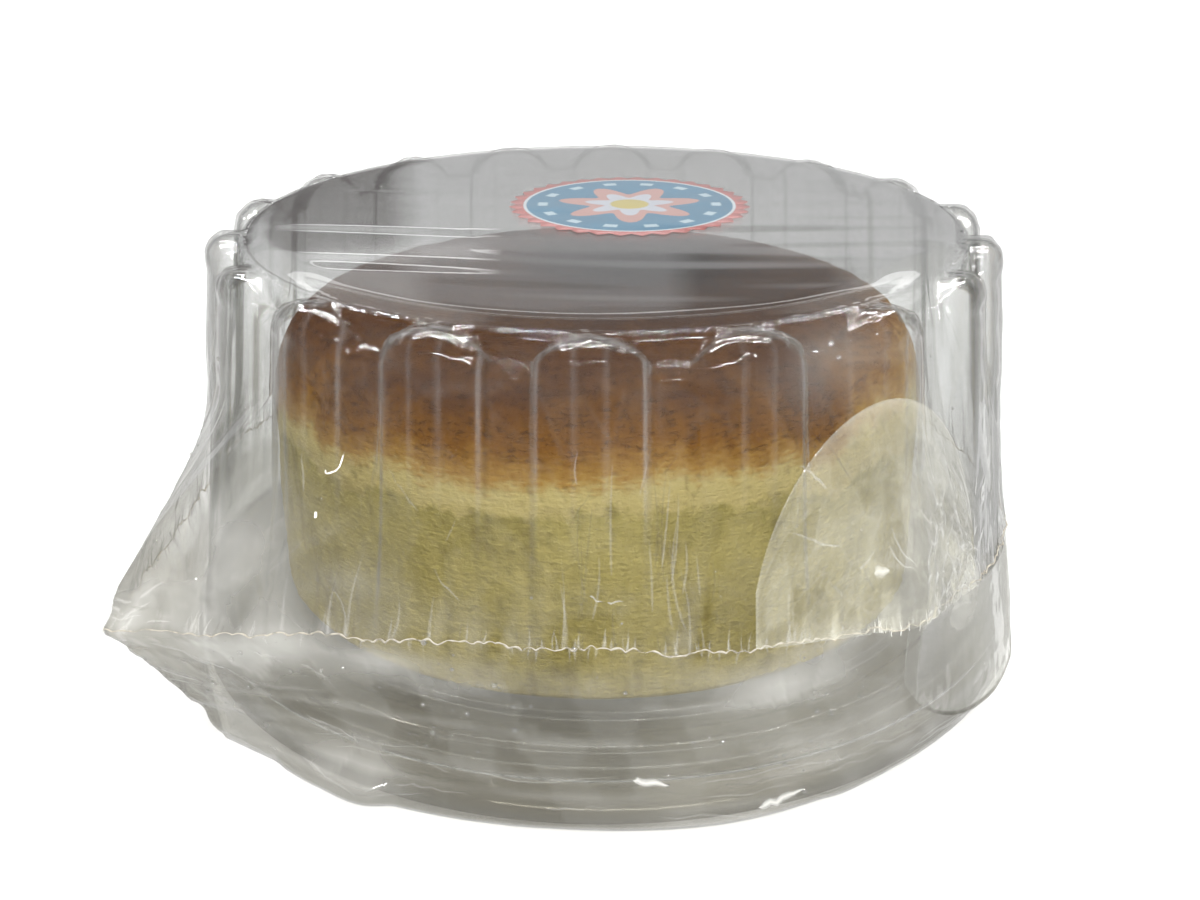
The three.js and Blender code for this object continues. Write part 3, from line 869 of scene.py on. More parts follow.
def label_finish():
    """Printed sticker: coral pinked edge, a thin pale ring, a teal field and a plain rosette of pale petals
    round a yellow middle, with small dots between, worked out from the distance and bearing about the
    label's middle."""
    settings = pack_settings()
    finish = Finish("printed_label")
    shift = (-LABEL_CENTRE[0], -LABEL_CENTRE[1], 0.0)
    place = finish.place((1 / LABEL_RADIUS, 1 / LABEL_RADIUS, 0.0), shift)
    x = finish.node("ShaderNodeSeparateXYZ", {}, {"Vector": place}, output="X")
    y = finish.node("ShaderNodeSeparateXYZ", {}, {"Vector": place}, output="Y")
    away = (x * x + y * y) ** 0.5
    bearing = new_math(finish.tree, "ARCTAN2", (y, x))
    ink = finish.noise(900.0, detail=3.0)
    wash = finish.noise(70.0, detail=2.0)
    petals = 7.0
    ring_from = 0.85
    edge_from = 0.875
    dots_at = 0.72
    petal_reach = 0.46 + 0.13 * (bearing * petals).sine()
    dots = (bearing * (2.0 * petals) + 1.57).sine().step(0.35, 0.6)
    dot_band = (1.0 - new_math(finish.tree, "ABSOLUTE", (away - dots_at,)).step(0.03, 0.05)) * dots
    field = finish.mix(wash, settings.field_colour, settings.deep_colour)
    colour = finish.mix((away - edge_from).step(0.0, 0.012), (0.70, 0.80, 0.84), settings.edge_colour)
    colour = finish.mix((away - ring_from).step(0.0, 0.012), field, colour)
    colour = finish.mix(dot_band, colour, (0.55, 0.72, 0.80))
    colour = finish.mix(1.0 - (away - petal_reach).step(0.0, 0.02), colour, settings.petal_colour)
    colour = finish.mix(1.0 - (away - petal_reach * 0.62).step(0.0, 0.02), colour, (0.62, 0.66, 0.74))
    colour = finish.mix(1.0 - away.step(0.15, 0.17), colour, (0.62, 0.50, 0.08))
    colour = finish.mix(ink * 0.15, colour, (0.50, 0.54, 0.56))
    shader = finish.node("ShaderNodeBsdfPrincipled", {}, {
        "Base Color": colour, "Roughness": 0.38, "Normal": finish.bump(ink, 0.05 * MM),
        "Specular IOR Level": 0.1})
    return finish.finished(shader)


# Corners of the wrap: bearing, reach from the axis at the seam
FILM_CORNERS = ((math.radians(-50), 151 * MM), (math.radians(40), 117 * MM),
                (math.radians(135), 120 * MM), (math.radians(-135), 120 * MM))
# Share of a corner's reach at heights over the seam
CORNER_HEIGHTS = MM * np.array([-42, -30, -10, 0, 10, 20, 30, 40, 48])
CORNER_SHARES = np.array([0.1, 0.38, 0.8, 1.0, 0.88, 0.68, 0.43, 0.18, 0.0])
# Gap to the dome, dip between lobes, lowest height of the wall, depth of the shoulder's pleats
FILM_CLEAR = 0.55 * MM
FILM_DIP = 3.9 * MM
FILM_FOOT = 2.4 * MM
PLEAT = 0.5 * MM
# How far the film's foot lies inside the solid's widest
FOOT_INSET = 0.4 * MM
# Height of the low mound that the flat film makes in the middle
TOP_MOUND = 0.12 * MM
# Swells along the film's foot: bearing and width in degrees, reach in millimetres
FOOT_SWELLS = ((-38, 22, 3.0), (12, 12, 1.6))
# Flap on the right and hem below it: first bearing, width, and height or length of the arch
FLAP_START, FLAP_WIDTH, FLAP_HEIGHT = math.radians(17.5), math.radians(37), 52 * MM
HEM_START, HEM_WIDTH, HEM_LENGTH = math.radians(38), math.radians(38), 30 * MM
FLAP_SHEET = 0.06 * MM
# Colours of the milk in the film and in its flaps, of the painted highlights on its creases, and what a
# crease lets through
FILM_HAZE = (0.66, 0.655, 0.62)
FLAP_HAZE = (0.95, 0.93, 0.76)
CREASE_HIGHLIGHT_HAZE = (0.85, 0.84, 0.80)
CREASE_TINT = (0.985, 0.985, 0.985)
# Waves of the flat film: length, height, bend
TOP_WAVES = ((46 * MM, 0.044 * MM, 0.3), (23 * MM, 0.028 * MM, -0.5), (14 * MM, 0.020 * MM, 0.8))
# Waves of the seam: how many round the pack, height in millimetres, seed
SEAM_WAVES = ((46, 0.8, 51), (150, 0.5, 52), (290, 0.35, 53), (520, 0.2, 54))
# Crumpled milky places of the film: bearing in degrees, height in millimetres, width in degrees, depth in
# millimetres, strength
FILM_CLOUDS = (
    (-44, 36, 9, 8, 0.12), (54, 38, 7, 12, 0.30), (-66, 56, 8, 22, 0.14), (118, 30, 12, 12, 0.16),
    (136, 44, 8, 14, 0.3), (-136, 44, 8, 14, 0.3), (-150, 58, 10, 18, 0.12), (170, 22, 9, 8, 0.2))
# Fog on the film, in the same order; the two at 103 and 106 mm, on the shoulder, are painted reflection
# that lightens the brown seen through it
FILM_FOGS_AND_REFLECTIONS = ((-30, 10, 6, 5, 0.34), (-41, 57, 6, 18, 0.34), (-30, 54, 6, 12, 0.14), (23, 33, 9, 6, 0.36),
             (40, 64, 5, 20, 0.42), (49, 56, 6, 20, 0.25), (-49, 52, 8, 22, 0.12), (-40, 37, 8, 9, 0.25),
             (31, 14, 10, 10, 0.22), (0, 37, 30, 4, 0.13), (-20, 48, 8, 7, 0.12), (31, 103, 10, 11, 0.15),
             (0, 106, 45, 8, 0.03), (-34, 42, 5, 5, 0.42), (-25, 38, 5, 4, 0.3), (27, 41, 6, 4, 0.36),
             (152, 30, 20, 12, 0.25), (-160, 26, 20, 10, 0.3))
# Damp places, in the same order without a strength
DAMP_PLACES = ((-62, 50, 9, 18), (-50, 25, 8, 8), (24, 18, 10, 6), (-20, 32, 12, 6), (150, 40, 20, 16))
# Groups of painted crease lines, white ones as painted highlights and dark ones as painted shade, the last
# # four groups glints: count, ranges of bearing, height over the seam, length and slant from upright, width
# # and strength, in degrees and millimetres
CREASE_HIGHLIGHTS_AND_SHADES = (
    (300, (-180, 180), (0.2, 0.2), (1.5, 6), (-12, 12), 1.0, 0.2),
    (80, (-180, 180), (0.2, 0.2), (6, 22), (-9, 7), 1.4, 0.14),
    (130, (-180, 180), (-0.2, -0.2), (1.5, 4), (165, 195), 1.0, 0.16),
    (17, (33, 50), (-1.8, -1.2), (3, 4.5), (-8, 8), 0.6, 0.8),
    (60, (44, 60), (-4, 24), (1.5, 7), (-100, 100), 1.1, 0.4),
    (16, (-52, -46), (-4, 9), (2, 6), (-100, 100), 0.9, 0.28),
    (2, (-53, -52), (14, 16), (30, 34), (-22, -18), 0.9, 0.4),
    (16, (-4, 14), (4, 20), (10, 30), (-6, 8), 0.7, 0.14),
    (14, (28, 50), (8, 40), (5, 16), (-70, 70), 0.8, 0.34),
    (14, (-84, -56), (10, 48), (3, 12), (-24, 24), 0.5, 0.15),
    (14, (-62, -34), (-26, -4), (6, 16), (100, 150), 0.9, 0.16),
    (70, (-180, 180), (-40, -30), (14, 45), (84, 96), 0.6, 0.16),
    (40, (124, 148), (-6, 24), (4, 14), (-100, 100), 0.5, 0.45),
    (40, (-148, -124), (-6, 24), (4, 14), (-100, 100), 0.5, 0.45),
    (70, (-180, 180), (0, 48), (4, 15), (-45, 45), 0.4, 0.2),
    (1, (33, 34), (13, 14), (4, 5), (78, 84), 3.0, 0.9),
    (1, (3, 4), (-32, -31), (8, 9), (86, 94), 2.6, 0.8),
    (1, (17, 18), (-38.5, -38), (12, 13), (80, 82), 1.6, 0.7),
    (3, (-8, 2), (10, 13), (3, 4), (50, 110), 0.6, 0.45))


def seam_level(bearing):
    """Height of the heat seal without its puckers: highest in front and lower at the sides."""
    side = np.sin(bearing)
    return pack_settings().seam_height - MM * (8.8 * side * side + 2.9 * side)


def seam_height(bearing):
    """Height of the heat seal: its level, with uneven waves and small scallops, |sin(105 b)|, along it."""
    turn = (bearing / FULL_TURN) % 1.0
    pucker = 0.0
    for cells, height, seed in SEAM_WAVES:
        pucker = pucker + height * lattice_noise(turn, 0 * turn, cells, 1, seed)
    sway = lattice_noise(turn, 0 * turn, 90, 1, 55)
    scallop = np.abs(np.sin(105 * bearing + 2.5 * sway)) * (0.55 + 0.45 * sway)
    return seam_level(bearing) + MM * (pucker + 0.9 * scallop)


def film_wall(z):
    """Radius of the film where it lies on the dome, the flange and the tray's foot."""
    seam = pack_settings().seam_height
    on_dome = dome_wall(z) + FILM_CLEAR
    share = np.clip((seam - z) / (seam - DOME_FOOT), 0.0, 1.0)
    low = dome_wall(seam) + FILM_CLEAR + share * (FLANGE_RADIUS + FILM_CLEAR - dome_wall(seam) - FILM_CLEAR)
    below = np.clip((DOME_FOOT - z) / DOME_FOOT, 0.0, 1.0)
    low = low + below * (FILM_RADIUS - FOOT_INSET - FLANGE_RADIUS - FILM_CLEAR)
    return np.where(z > seam, on_dome, low)


def taut_radius(wall, bearing, over_seam):
    """Tangent hull of the round wall and the wrap's corners: wall / cos(spread - turn) near a corner, where
    spread = acos(wall / reach)."""
    fade = np.interp(over_seam, CORNER_HEIGHTS, CORNER_SHARES)
    radius = wall + 0 * bearing
    for corner, full_reach in FILM_CORNERS:
        reach = wall + np.maximum(full_reach - wall, 0.0) * fade
        spread = np.arccos(np.clip(wall / reach, 0.0, 1.0))
        turn = np.abs(corner_turn(bearing, corner))
        radius = np.maximum(radius, wall / np.cos(np.maximum(spread - turn, 0.0)))
    return radius


def film_puckers(turn, rise):
    """Slanting tapered puckers that start at the seam: bands of noise along the turn, each dying away over
    its own length, longer above the seam than below it."""
    slant = turn - 0.25 * rise
    length = MM * (9.0 + 8.0 * lattice_noise(slant, 0 * rise, 110, 1, 60))
    band = lattice_noise(slant, 0 * rise, 260, 1, 61)
    above = np.exp(-np.abs(rise) / length) * (rise > 0)
    below = np.exp(-np.abs(rise) / (2.5 * MM)) * (rise <= 0)
    return band * (above + below)


def film_clouds(bearing, z, places):
    """Clouds on the film: soft bumps exp(-d^2) about a few places on the wall."""
    cloud = 0.0
    for place, height, wide, tall, strength in places:
        across = corner_turn(bearing, math.radians(place)) / math.radians(wide)
        cloud = cloud + strength * np.exp(-across ** 2 - ((z / MM - height) / tall) ** 2)
    return cloud


def film_surface(bearing, z):
    """Wrinkles of the film along its normal, and how milky and how shaded it is: puckers that die away from
    the seam, angular facets that grow where the film is loose, pulls that fan out from the loose corner,
    and bunches and haze under the seam. The milk holds painted highlights along puckers, pulls and ridges,
    and the shade is painted shade: below the seam, round the loose corner, along the floor and in the dark
    streaks and puckers."""
    turn, level = np.broadcast_arrays((bearing / FULL_TURN) % 1.0, np.clip(z / DOME_TOP, 0.0, 1.0))
    rise = z - seam_height(bearing)
    pucker = film_puckers(turn, rise)
    broad = lattice_noise(turn, level, 70, 4, 62) * np.exp(-np.abs(rise) / (16 * MM))
    corner_radius = 120 * MM
    pull_reach = 46 * MM
    tip_reach = 9 * MM
    across = corner_turn(bearing, FILM_CORNERS[0][0]) * corner_radius
    fan = np.arctan2(rise, across) / FULL_TURN % 1.0
    away = np.hypot(rise, across)
    near = np.exp(-((away / pull_reach) ** 2))
    tip = np.exp(-away / tip_reach)
    rays = creases(lattice_noise(fan, 0 * away, 34, 1, 63), 0.10)
    pulls = rays * near * smooth_step(away, 4 * MM, 20 * MM)
    cloud = film_clouds(bearing, z, FILM_CLOUDS)
    # Fog on the wall, with the shoulder's painted reflection reaching down onto its top
    damp = film_clouds(bearing, z, FILM_FOGS_AND_REFLECTIONS) * (0.75 + 0.35 * lattice_noise(turn, level, 70, 18, 71))
    loose = np.clip(2.2 * cloud + 1.4 * tip, 0.0, 1.0)
    border, number = jittered_cells(turn + 0.04 * level, level, 62, 9, 64)
    fine_border, fine_number = jittered_cells(turn, level, 150, 20, 65)
    facets = 0.35 * border + loose * (1.1 * border + 0.7 * fine_border)
    low = smooth_step(-rise, 1 * MM, 14 * MM)
    bunch = lattice_noise(turn, level, 40, 44, 66) * low
    streak = lattice_noise(turn + 0.4 * z, level, 26, 100, 68) * low
    relief = 0.6 * pucker + 0.7 * broad + 0.5 * pulls + facets + 0.8 * bunch
    stand_off = smooth_step(number, 0.55, 0.6)
    ridge = 1 - smooth_step(border, 0.0, 0.14)
    fine_ridge = 1 - smooth_step(fine_border, 0.0, 0.2)
    fog = smooth_step(lattice_noise(turn, level, 40, 12, 70), 0.1, 0.5) * np.exp(-np.abs(rise) / (8 * MM))
    # Milk: painted highlights along the puckers, the pulls and the ridges of the cells and of loose
    # crumples; haze in the fog by the seam, the stand-off cells, the clouds, the fogs and under the seam
    milk = 0.10 * pucker + 0.06 * pulls + 0.12 * fog + 0.002 + 0.016 * stand_off + 0.02 * ridge
    crumpled = 0.12 * fine_ridge + 0.12 * smooth_step(fine_number, 0.5, 0.6)
    milk = milk + loose * crumpled + cloud * (0.5 + stand_off)
    milk = milk + damp + low * (0.04 + 0.03 * stand_off + 0.09 * smooth_step(streak, 0.1, 0.6))
    # Below the seam darker, partly for the bunched plies and partly painted shade: darker at the front
    # left, lighter at the right, and painted shade round the loose corner
    depth = 0.55 + 0.3 * near_bearing(bearing, -15, 14) - 0.4 * near_bearing(bearing, 48, 16)
    shade = low * depth + 0.75 * near
    # Painted shade in the dark streaks below the seam and on the hollow side of the puckers
    shade = shade + 0.12 * smooth_step(-streak, 0.2, 0.8) + 0.10 * np.maximum(-pucker, 0.0)
    # Painted shade: a darker band along the floor
    shade = shade + 0.38 * (1 - smooth_step(z, 4 * MM, 12 * MM))
    return MM * relief, np.maximum(milk, 0.0), shade


def film_radius(bearing, z, relief):
    """Radius of the wrap's wall: the taut hull moved by its wrinkles, with dips between the dome's lobes
    that fade downwards and an uneven swell along the floor."""
    wall = film_wall(z)
    taut = taut_radius(wall, bearing, z - seam_level(bearing))
    ease = smooth_step(SHOULDER_FOOT - z, 0.0, 14 * MM) * smooth_step(z, 0.0, 8 * MM)
    dip = FILM_DIP * smooth_step(z, *LOBE_FADE) * flute_recess(bearing, 1.0) - wall_puff(bearing, z)
    turn = (bearing / FULL_TURN) % 1.0
    bulge = lattice_noise(turn, 0 * turn, 22, 1, 67) + 0.4 * lattice_noise(turn, 0 * turn, 64, 1, 69)
    swell = 3.2 * smooth_step(bulge, -0.2, 0.8) * (1 - near_bearing(bearing, 52, 22))
    for middle, width, reach in FOOT_SWELLS:
        swell = swell + reach * near_bearing(bearing, middle, width)
    swell = MM * swell * (1 - smooth_step(z, 3 * MM, 12 * MM))
    return taut + np.maximum(relief * ease, wall - 0.2 * MM - taut) - dip + swell


def top_ripple(x, y):
    """Low waves of the flat film with crests across the pack: a sum of sines of y, each bent by slower
    sines of x."""
    ripple = 0.0
    for length, height, bend in TOP_WAVES:
        drift = 0.1 * bend * x + 4 * MM * np.sin(x / (34 * MM) + 9 * bend)
        ripple = ripple + height * np.sin(FULL_TURN * (y + drift) / length + 5 * bend)
    return ripple


def make_film_mesh():
    """Sealed film as one closed skin: a gently rippled flat top, a shoulder that dips between the dome's
    lobes, the wall down to the puckered seam, the lower ply in to the tray's foot and a flat underside."""
    bearing = around(800)[None, :]
    seam = seam_height(bearing)
    top = DOME_TOP + FILM_CLEAR
    flat_r = FLAT_EDGE * np.append(np.linspace(0.05, 0.43, 6), np.linspace(0.46, 1.0, 25))[:, None]
    ripple = top_ripple(flat_r * np.sin(bearing), -flat_r * np.cos(bearing)) + TOP_MOUND
    ripple = ripple * smooth_step(1 - flat_r / FLAT_EDGE, 0, 0.1)
    flat = swept_points(bearing, flat_r, top + ripple - rim_slope(flat_r))
    turn = np.linspace(0.0, math.pi / 2, 21)[1:, None]
    share = turn / (math.pi / 2)
    arch = lobe_arch(share)
    growth = lobe_growth(share)
    dip = FILM_DIP * flute_recess(bearing, arch) * growth - lobe_puff(bearing, share)
    spread, down = np.broadcast_arrays(bearing / FULL_TURN, share)
    border = jittered_cells(spread, down, 160, 4, 73)[0]
    pleat = PLEAT * (border + 0.6 * lattice_noise(spread, down, 150, 5, 74)) * np.sin(math.pi * share)
    slack = DOME_SHOULDER + FILM_CLEAR - dip + pleat
    tall = slack - rim_slope(FLAT_EDGE)
    shoulder = swept_points(bearing, FLAT_EDGE + slack * np.sin(turn), SHOULDER_FOOT + tall * np.cos(turn))
    drop = np.linspace(0.0, 1.0, 41)[1:, None]
    rise = np.linspace(1.0, 0.0, 26)[1:, None]
    above_z = SHOULDER_FOOT + (seam - SHOULDER_FOOT) * drop
    below_z = FILM_FOOT + (seam - FILM_FOOT) * rise
    wall_z = np.concatenate([above_z, below_z])
    relief, milk, shade = film_surface(bearing, wall_z)
    wall_r = film_radius(bearing, wall_z, relief)
    sides = swept_points(bearing, wall_r, wall_z)
    corner_in = MM * np.array([0.7, 2.4, 30.0, 70.0])[:, None]
    corner_z = MM * np.array([0.7, 0.0, 0.0, 0.0])[:, None]
    under = swept_points(bearing, wall_r[-1:] - corner_in, corner_z)
    points = np.concatenate([flat, shoulder, sides, under])
    mesh = ring_mesh("film_wrap", points, (0.0, 0.0, top + TOP_MOUND), (0.0, 0.0, 0.0))
    calm = np.zeros((len(flat), bearing.size))
    # Painted reflection on the shoulder, from the upper fogs
    fog = film_clouds(bearing, shoulder[:, :, 2], FILM_FOGS_AND_REFLECTIONS)
    below = np.full((len(under), bearing.size), 0.1)
    paint(mesh, "milk", np.concatenate([calm, fog, milk, below]), (0.0, 0.1))
    paint(mesh, "shade", np.concatenate([calm, 0 * fog, shade, below]), (0.0, 0.1))
    crumpled = np.ones((len(points) - len(flat), bearing.size))
    paint(mesh, "crumple", np.concatenate([calm, crumpled]), (0.0, 1.0))
    return mesh


def arch_height(share, power):
    """Rounded arch over 0..1: (1 - |2 s - 1|^p)^(1/p)."""
    return (1 - np.abs(2 * share - 1) ** power) ** (1 / power)


def make_overlap_mesh():
    """Overlapping flap of film on the right: bearings across, heights from the seam up to a rounded arch,
    standing off the wrap by angular crumples that grow towards the right."""
    share = np.linspace(0.0, 1.0, 170)[None, :]
    up = np.linspace(0.0, 1.0, 90)[::-1][:, None]
    bearing = FLAP_START + FLAP_WIDTH * share
    seam = seam_level(bearing)
    tall = 3 * MM + FLAP_HEIGHT * arch_height(0.01 + 0.98 * share ** 1.05, 2.0)
    z = seam + 0.5 * MM + up * tall
    across, level = np.broadcast_arrays(share, up)
    border, number = jittered_cells(0.94 * across + 0.08 * level, level, 7, 6, 91)
    fine_border, fine_number = jittered_cells(0.94 * across, level, 17, 11, 92)
    smear = lattice_noise(across, level, 22, 3, 93)
    loose = 0.25 + 0.75 * smooth_step(across, 0.35, 0.9) * (1 - smooth_step(level, 0.5, 0.95))
    wall = taut_radius(film_wall(z), bearing, z - seam)
    inside = smooth_step(1 - level, 0.0, 0.25) * smooth_step(across, 0.0, 0.1)
    radius = wall + MM * (1.5 + inside * (0.9 * border + 0.7 * loose * fine_border))
    mesh = patch_mesh("film_overlap", swept_points(bearing, radius, z))
    rim = np.exp(-(1 - level) / 0.025) + np.exp(-across / 0.012)
    ridge = 1 - smooth_step(border, 0.0, 0.10)
    fine_ridge = 1 - smooth_step(fine_border, 0.0, 0.16)
    cloud = lattice_noise(across, level, 5, 4, 94)
    # Milk: painted highlights along the flap's edges and the ridges of its cells and crumples, with haze in
    # its patches, clouds and smears
    milk = 0.042 + 0.08 * rim + 0.03 * smooth_step(number, 0.3, 0.8) + 0.022 * ridge
    milk = milk + 0.04 * smooth_step(cloud, 0.0, 0.7)
    milk = milk + 0.10 * loose * fine_ridge * smooth_step(fine_number, 0.4, 0.6)
    milk = milk + 0.10 * smooth_step(smear, 0.2, 0.8) * (1 - level)
    paint(mesh, "milk", milk, ())
    paint(mesh, "shade", 0.05 * smooth_step(0.4 - number, 0.0, 0.2), ())
    paint(mesh, "crumple", np.ones(number.shape), ())
    return mesh


def make_loose_edge_mesh():
    """Loose lower edge of the film on the right: a curtain from the seam down to a rounded hem, standing
    off the wrap most in its middle."""
    share = np.linspace(0.0, 1.0, 110)[None, :]
    down = np.linspace(0.0, 1.0, 60)[:, None]
    bearing = HEM_START + HEM_WIDTH * share
    long = 3 * MM + HEM_LENGTH * arch_height(0.03 + 0.94 * share, 2.2)
    z = seam_level(bearing) - down * long
    across, level = np.broadcast_arrays(share, down)
    wave = lattice_noise(across, level, 9, 2, 95) + 0.4 * lattice_noise(across, level, 30, 6, 96)
    stand = level * np.sin(math.pi * across)
    radius = film_radius(bearing, z, 0.0) + MM * (0.9 + 1.0 * stand + 0.22 * wave * level)
    mesh = patch_mesh("film_hem", swept_points(bearing, radius, z))
    rim = smooth_step(level, 0.965, 0.99)
    shown = smooth_step(across, 0.1, 0.55)
    paint(mesh, "milk", shown * (1 - rim) * (0.05 + 0.08 * smooth_step(wave, 0.2, 0.8) * level), ())
    # Painted shade: a dark line along the hem's lower edge
    paint(mesh, "shade", 0.95 * smooth_step(across, 0.05, 0.25) * smooth_step(level, 0.945, 0.975), ())
    paint(mesh, "crumple", np.ones(rim.shape), ())
    return mesh


def make_beads_mesh():
    """Beads of damp on the film: low domes of random sizes, strewn over the wall by a seeded draw, half of
    them gathered about a few damp places."""
    draw = np.random.default_rng(7)
    count = 420
    gathered = np.array(DAMP_PLACES)[draw.integers(0, len(DAMP_PLACES), count)]
    scatter = draw.normal(0.0, 1.0, (2, count))
    bearing = np.radians(gathered[:, 0] + gathered[:, 2] * scatter[0])
    z = MM * np.clip(gathered[:, 1] + gathered[:, 3] * scatter[1], 5.0, 92.0)
    anywhere = draw.random(count) < 0.5
    bearing = np.where(anywhere, draw.uniform(0.0, FULL_TURN, count), bearing)
    size = MM * (0.2 + 0.65 * draw.random(count) ** 4)
    radius = film_radius(bearing, z, film_surface(bearing, z)[0])
    centre = swept_points(bearing, radius, z)
    out = np.stack([np.sin(bearing), -np.cos(bearing), 0 * bearing], axis=-1)
    side = np.stack([np.cos(bearing), np.sin(bearing), 0 * bearing], axis=-1)
    rise = np.broadcast_to(np.array([0.0, 0.0, 1.0]), out.shape)
    lift = np.array([-0.2, 0.25, 0.5, 0.6])[:, None]
    wide = np.array([1.0, 0.85, 0.45, 0.02])[:, None]
    spin = around(8)[None, :]
    shape = np.broadcast_arrays(lift, wide * np.cos(spin), wide * np.sin(spin))
    shape = np.stack(shape, axis=-1).reshape(-1, 3)
    axes = np.stack([out, side, rise], axis=1)
    points = centre[:, None] + size[:, None, None] * np.einsum("vk,nkc->nvc", shape, axes)
    rows = np.arange(4 * 8).reshape(4, 8)
    after = np.roll(rows, -1, axis=1)
    quads = np.stack([rows[:-1], after[:-1], after[1:], rows[1:]], axis=-1).reshape(-1, 4)
    base = rows[0][::-1]
    lids = np.stack([base, rows[3]])
    shift = (np.arange(count) * rows.size)[:, None, None]
    faces = (quads[None] + shift).reshape(-1, 4).tolist() + (lids[None] + shift).reshape(-1, 8).tolist()
    return solid_mesh("damp_beads", points.reshape(-1, 3), faces)


def bead_finish():
    """Clear beads: light passes with a slight shade, and a bright mirror share."""
    finish = Finish("damp_bead")
    wet = finish.noise(300.0, detail=1.0)
    normal = finish.bump(wet, 0.05 * MM)
    return clear_finish(finish, (0.95, 0.95, 0.94), wet * 0.25, wet * 0.3, 0.12, 0.05, normal)


def make_crease_light_and_shade_mesh():
    """Painted highlights and painted shade along fine creases of the film, as slim tapered ribbons on its
    surface. Each group gives a count, ranges of bearing, height over the seam, length and slant, a width
    and a strength. A ribbon runs straight at its slant with a small bend, its width is w s^0.3 (1 - s)^0.7
    along it, or w (1 - s) where it starts on the seam, and it fades from its middle strand to its edges."""
    draw = np.random.default_rng(29)
    along = np.linspace(0.0, 1.0, 9)[None, :]
    edges = []
    highlight_milks = []
    shades = []
    for count, bearings, rises, lengths, slants, width, strength in CREASE_HIGHLIGHTS_AND_SHADES:
        bearing = np.radians(draw.uniform(*bearings, (count, 1)))
        length = MM * draw.uniform(*lengths, (count, 1))
        slant = np.radians(draw.uniform(*slants, (count, 1)))
        bend = draw.normal(0.0, 0.04, (count, 1)) * np.sin(math.pi * along)
        start = MM * draw.uniform(*rises, (count, 1))
        rise = start + length * (along * np.cos(slant) + bend * np.sin(slant))
        step = length * (along * np.sin(slant) - bend * np.cos(slant)) / FLANGE_RADIUS
        taper = (1 - along) if rises[0] == rises[1] else 1.9 * along ** 0.3 * (1 - along) ** 0.7
        half = MM * width / 2 * draw.uniform(0.6, 1.4, (count, 1)) * taper
        side_rise = -half * np.sin(slant)
        side_step = half * np.cos(slant) / FLANGE_RADIUS
        for sign in (-1, 0, 1):
            at = bearing + step + sign * side_step
            z = np.clip(seam_height(at) + rise + sign * side_rise, 1.5 * MM, SHOULDER_FOOT)
            radius = film_radius(at, z, film_surface(at, z)[0]) + 0.12 * MM
            edges.append(swept_points(at, radius, z))
        # About 35 in 100 ribbons of a group with more than one are dark, as painted shade; the rest are
        # painted highlights
        dark = (draw.random((count, 1)) < 0.35) & (count > 1)
        highlight_milks.append(np.where(dark, 0.02, strength) + 0 * along)
        shades.append(np.where(dark, 1.3 * strength, 0.0) + 0 * along)
    points = np.stack([np.concatenate(edges[strand::3]) for strand in range(3)], axis=2)
    ribbons, steps = points.shape[:2]
    index = np.arange(ribbons * steps * 3).reshape(ribbons, steps, 3)
    quads = np.stack([index[:, :-1, :-1], index[:, :-1, 1:], index[:, 1:, 1:], index[:, 1:, :-1]], axis=-1)
    mesh = solid_mesh("film_crease_lights_and_shades", points.reshape(-1, 3), quads.reshape(-1, 4).tolist())
    middle = np.array([0.0, 1.0, 0.0])
    paint(mesh, "milk", np.concatenate(highlight_milks)[:, :, None] * middle, ())
    paint(mesh, "shade", np.concatenate(shades)[:, :, None] * middle, ())
    paint(mesh, "crumple", np.ones(points.shape[:3]), ())
    return mesh


def make_seam_mesh():
    """Heat-seal bead: a thin uneven tube carried along the seam. Each ring's radius varies with noise."""
    bearing = around(2200)
    turn = bearing / FULL_TURN
    seam = seam_height(bearing)
    radius = film_radius(bearing, seam, film_surface(bearing, seam)[0]) + 0.15 * MM
    thick = MM * (0.19 + 0.11 * lattice_noise(turn, 0 * turn, 620, 1, 81))
    path = swept_points(bearing, radius, seam)
    ahead = np.roll(path, -1, axis=0) - np.roll(path, 1, axis=0)
    ahead = ahead / np.linalg.norm(ahead, axis=1)[:, None]
    out = np.stack([np.sin(bearing), -np.cos(bearing), 0 * bearing], axis=-1)
    side = np.cross(out, ahead)
    round_tube = around(7)
    ring = out[None] * np.cos(round_tube)[:, None, None] + side[None] * np.sin(round_tube)[:, None, None]
    points = path[None] + ring * thick[None, :, None]
    return ring_mesh("film_seam", np.concatenate([points, points[:1]])[::-1])


def seam_finish():
    """Whitened heat seal: cream-white where the plies melted together, clear in between."""
    finish = Finish("film_seal")
    cloud = finish.noise(420.0, detail=2.0)
    melted = finish.node("ShaderNodeBsdfPrincipled", {}, {
        "Base Color": finish.mix(cloud, (0.42, 0.38, 0.31), (0.66, 0.61, 0.52)), "Roughness": 0.45,
        "Specular IOR Level": 0.05})
    through = finish.node("ShaderNodeBsdfTransparent", {}, {"Color": (0.94, 0.94, 0.93, 1.0)})
    return finish.finished(finish.blend(cloud.step(0.3, 0.55) * 0.6 + 0.2, through, melted))


class PieceOperator:
    """What the operators that make a piece share."""

    bl_options = {"REGISTER", "UNDO"}

    def execute(self, context):
        self.build()
        return {"FINISHED"}


class CHEESECAKE_OT_cake(PieceOperator, bpy.types.Operator):
    """Make the cake"""

    bl_idname = "cheesecake.cake"
    bl_label = "Cake"

    def build(self):
        add_piece("souffle_cake", make_cake_mesh(), cake_finish(), ["cake"])


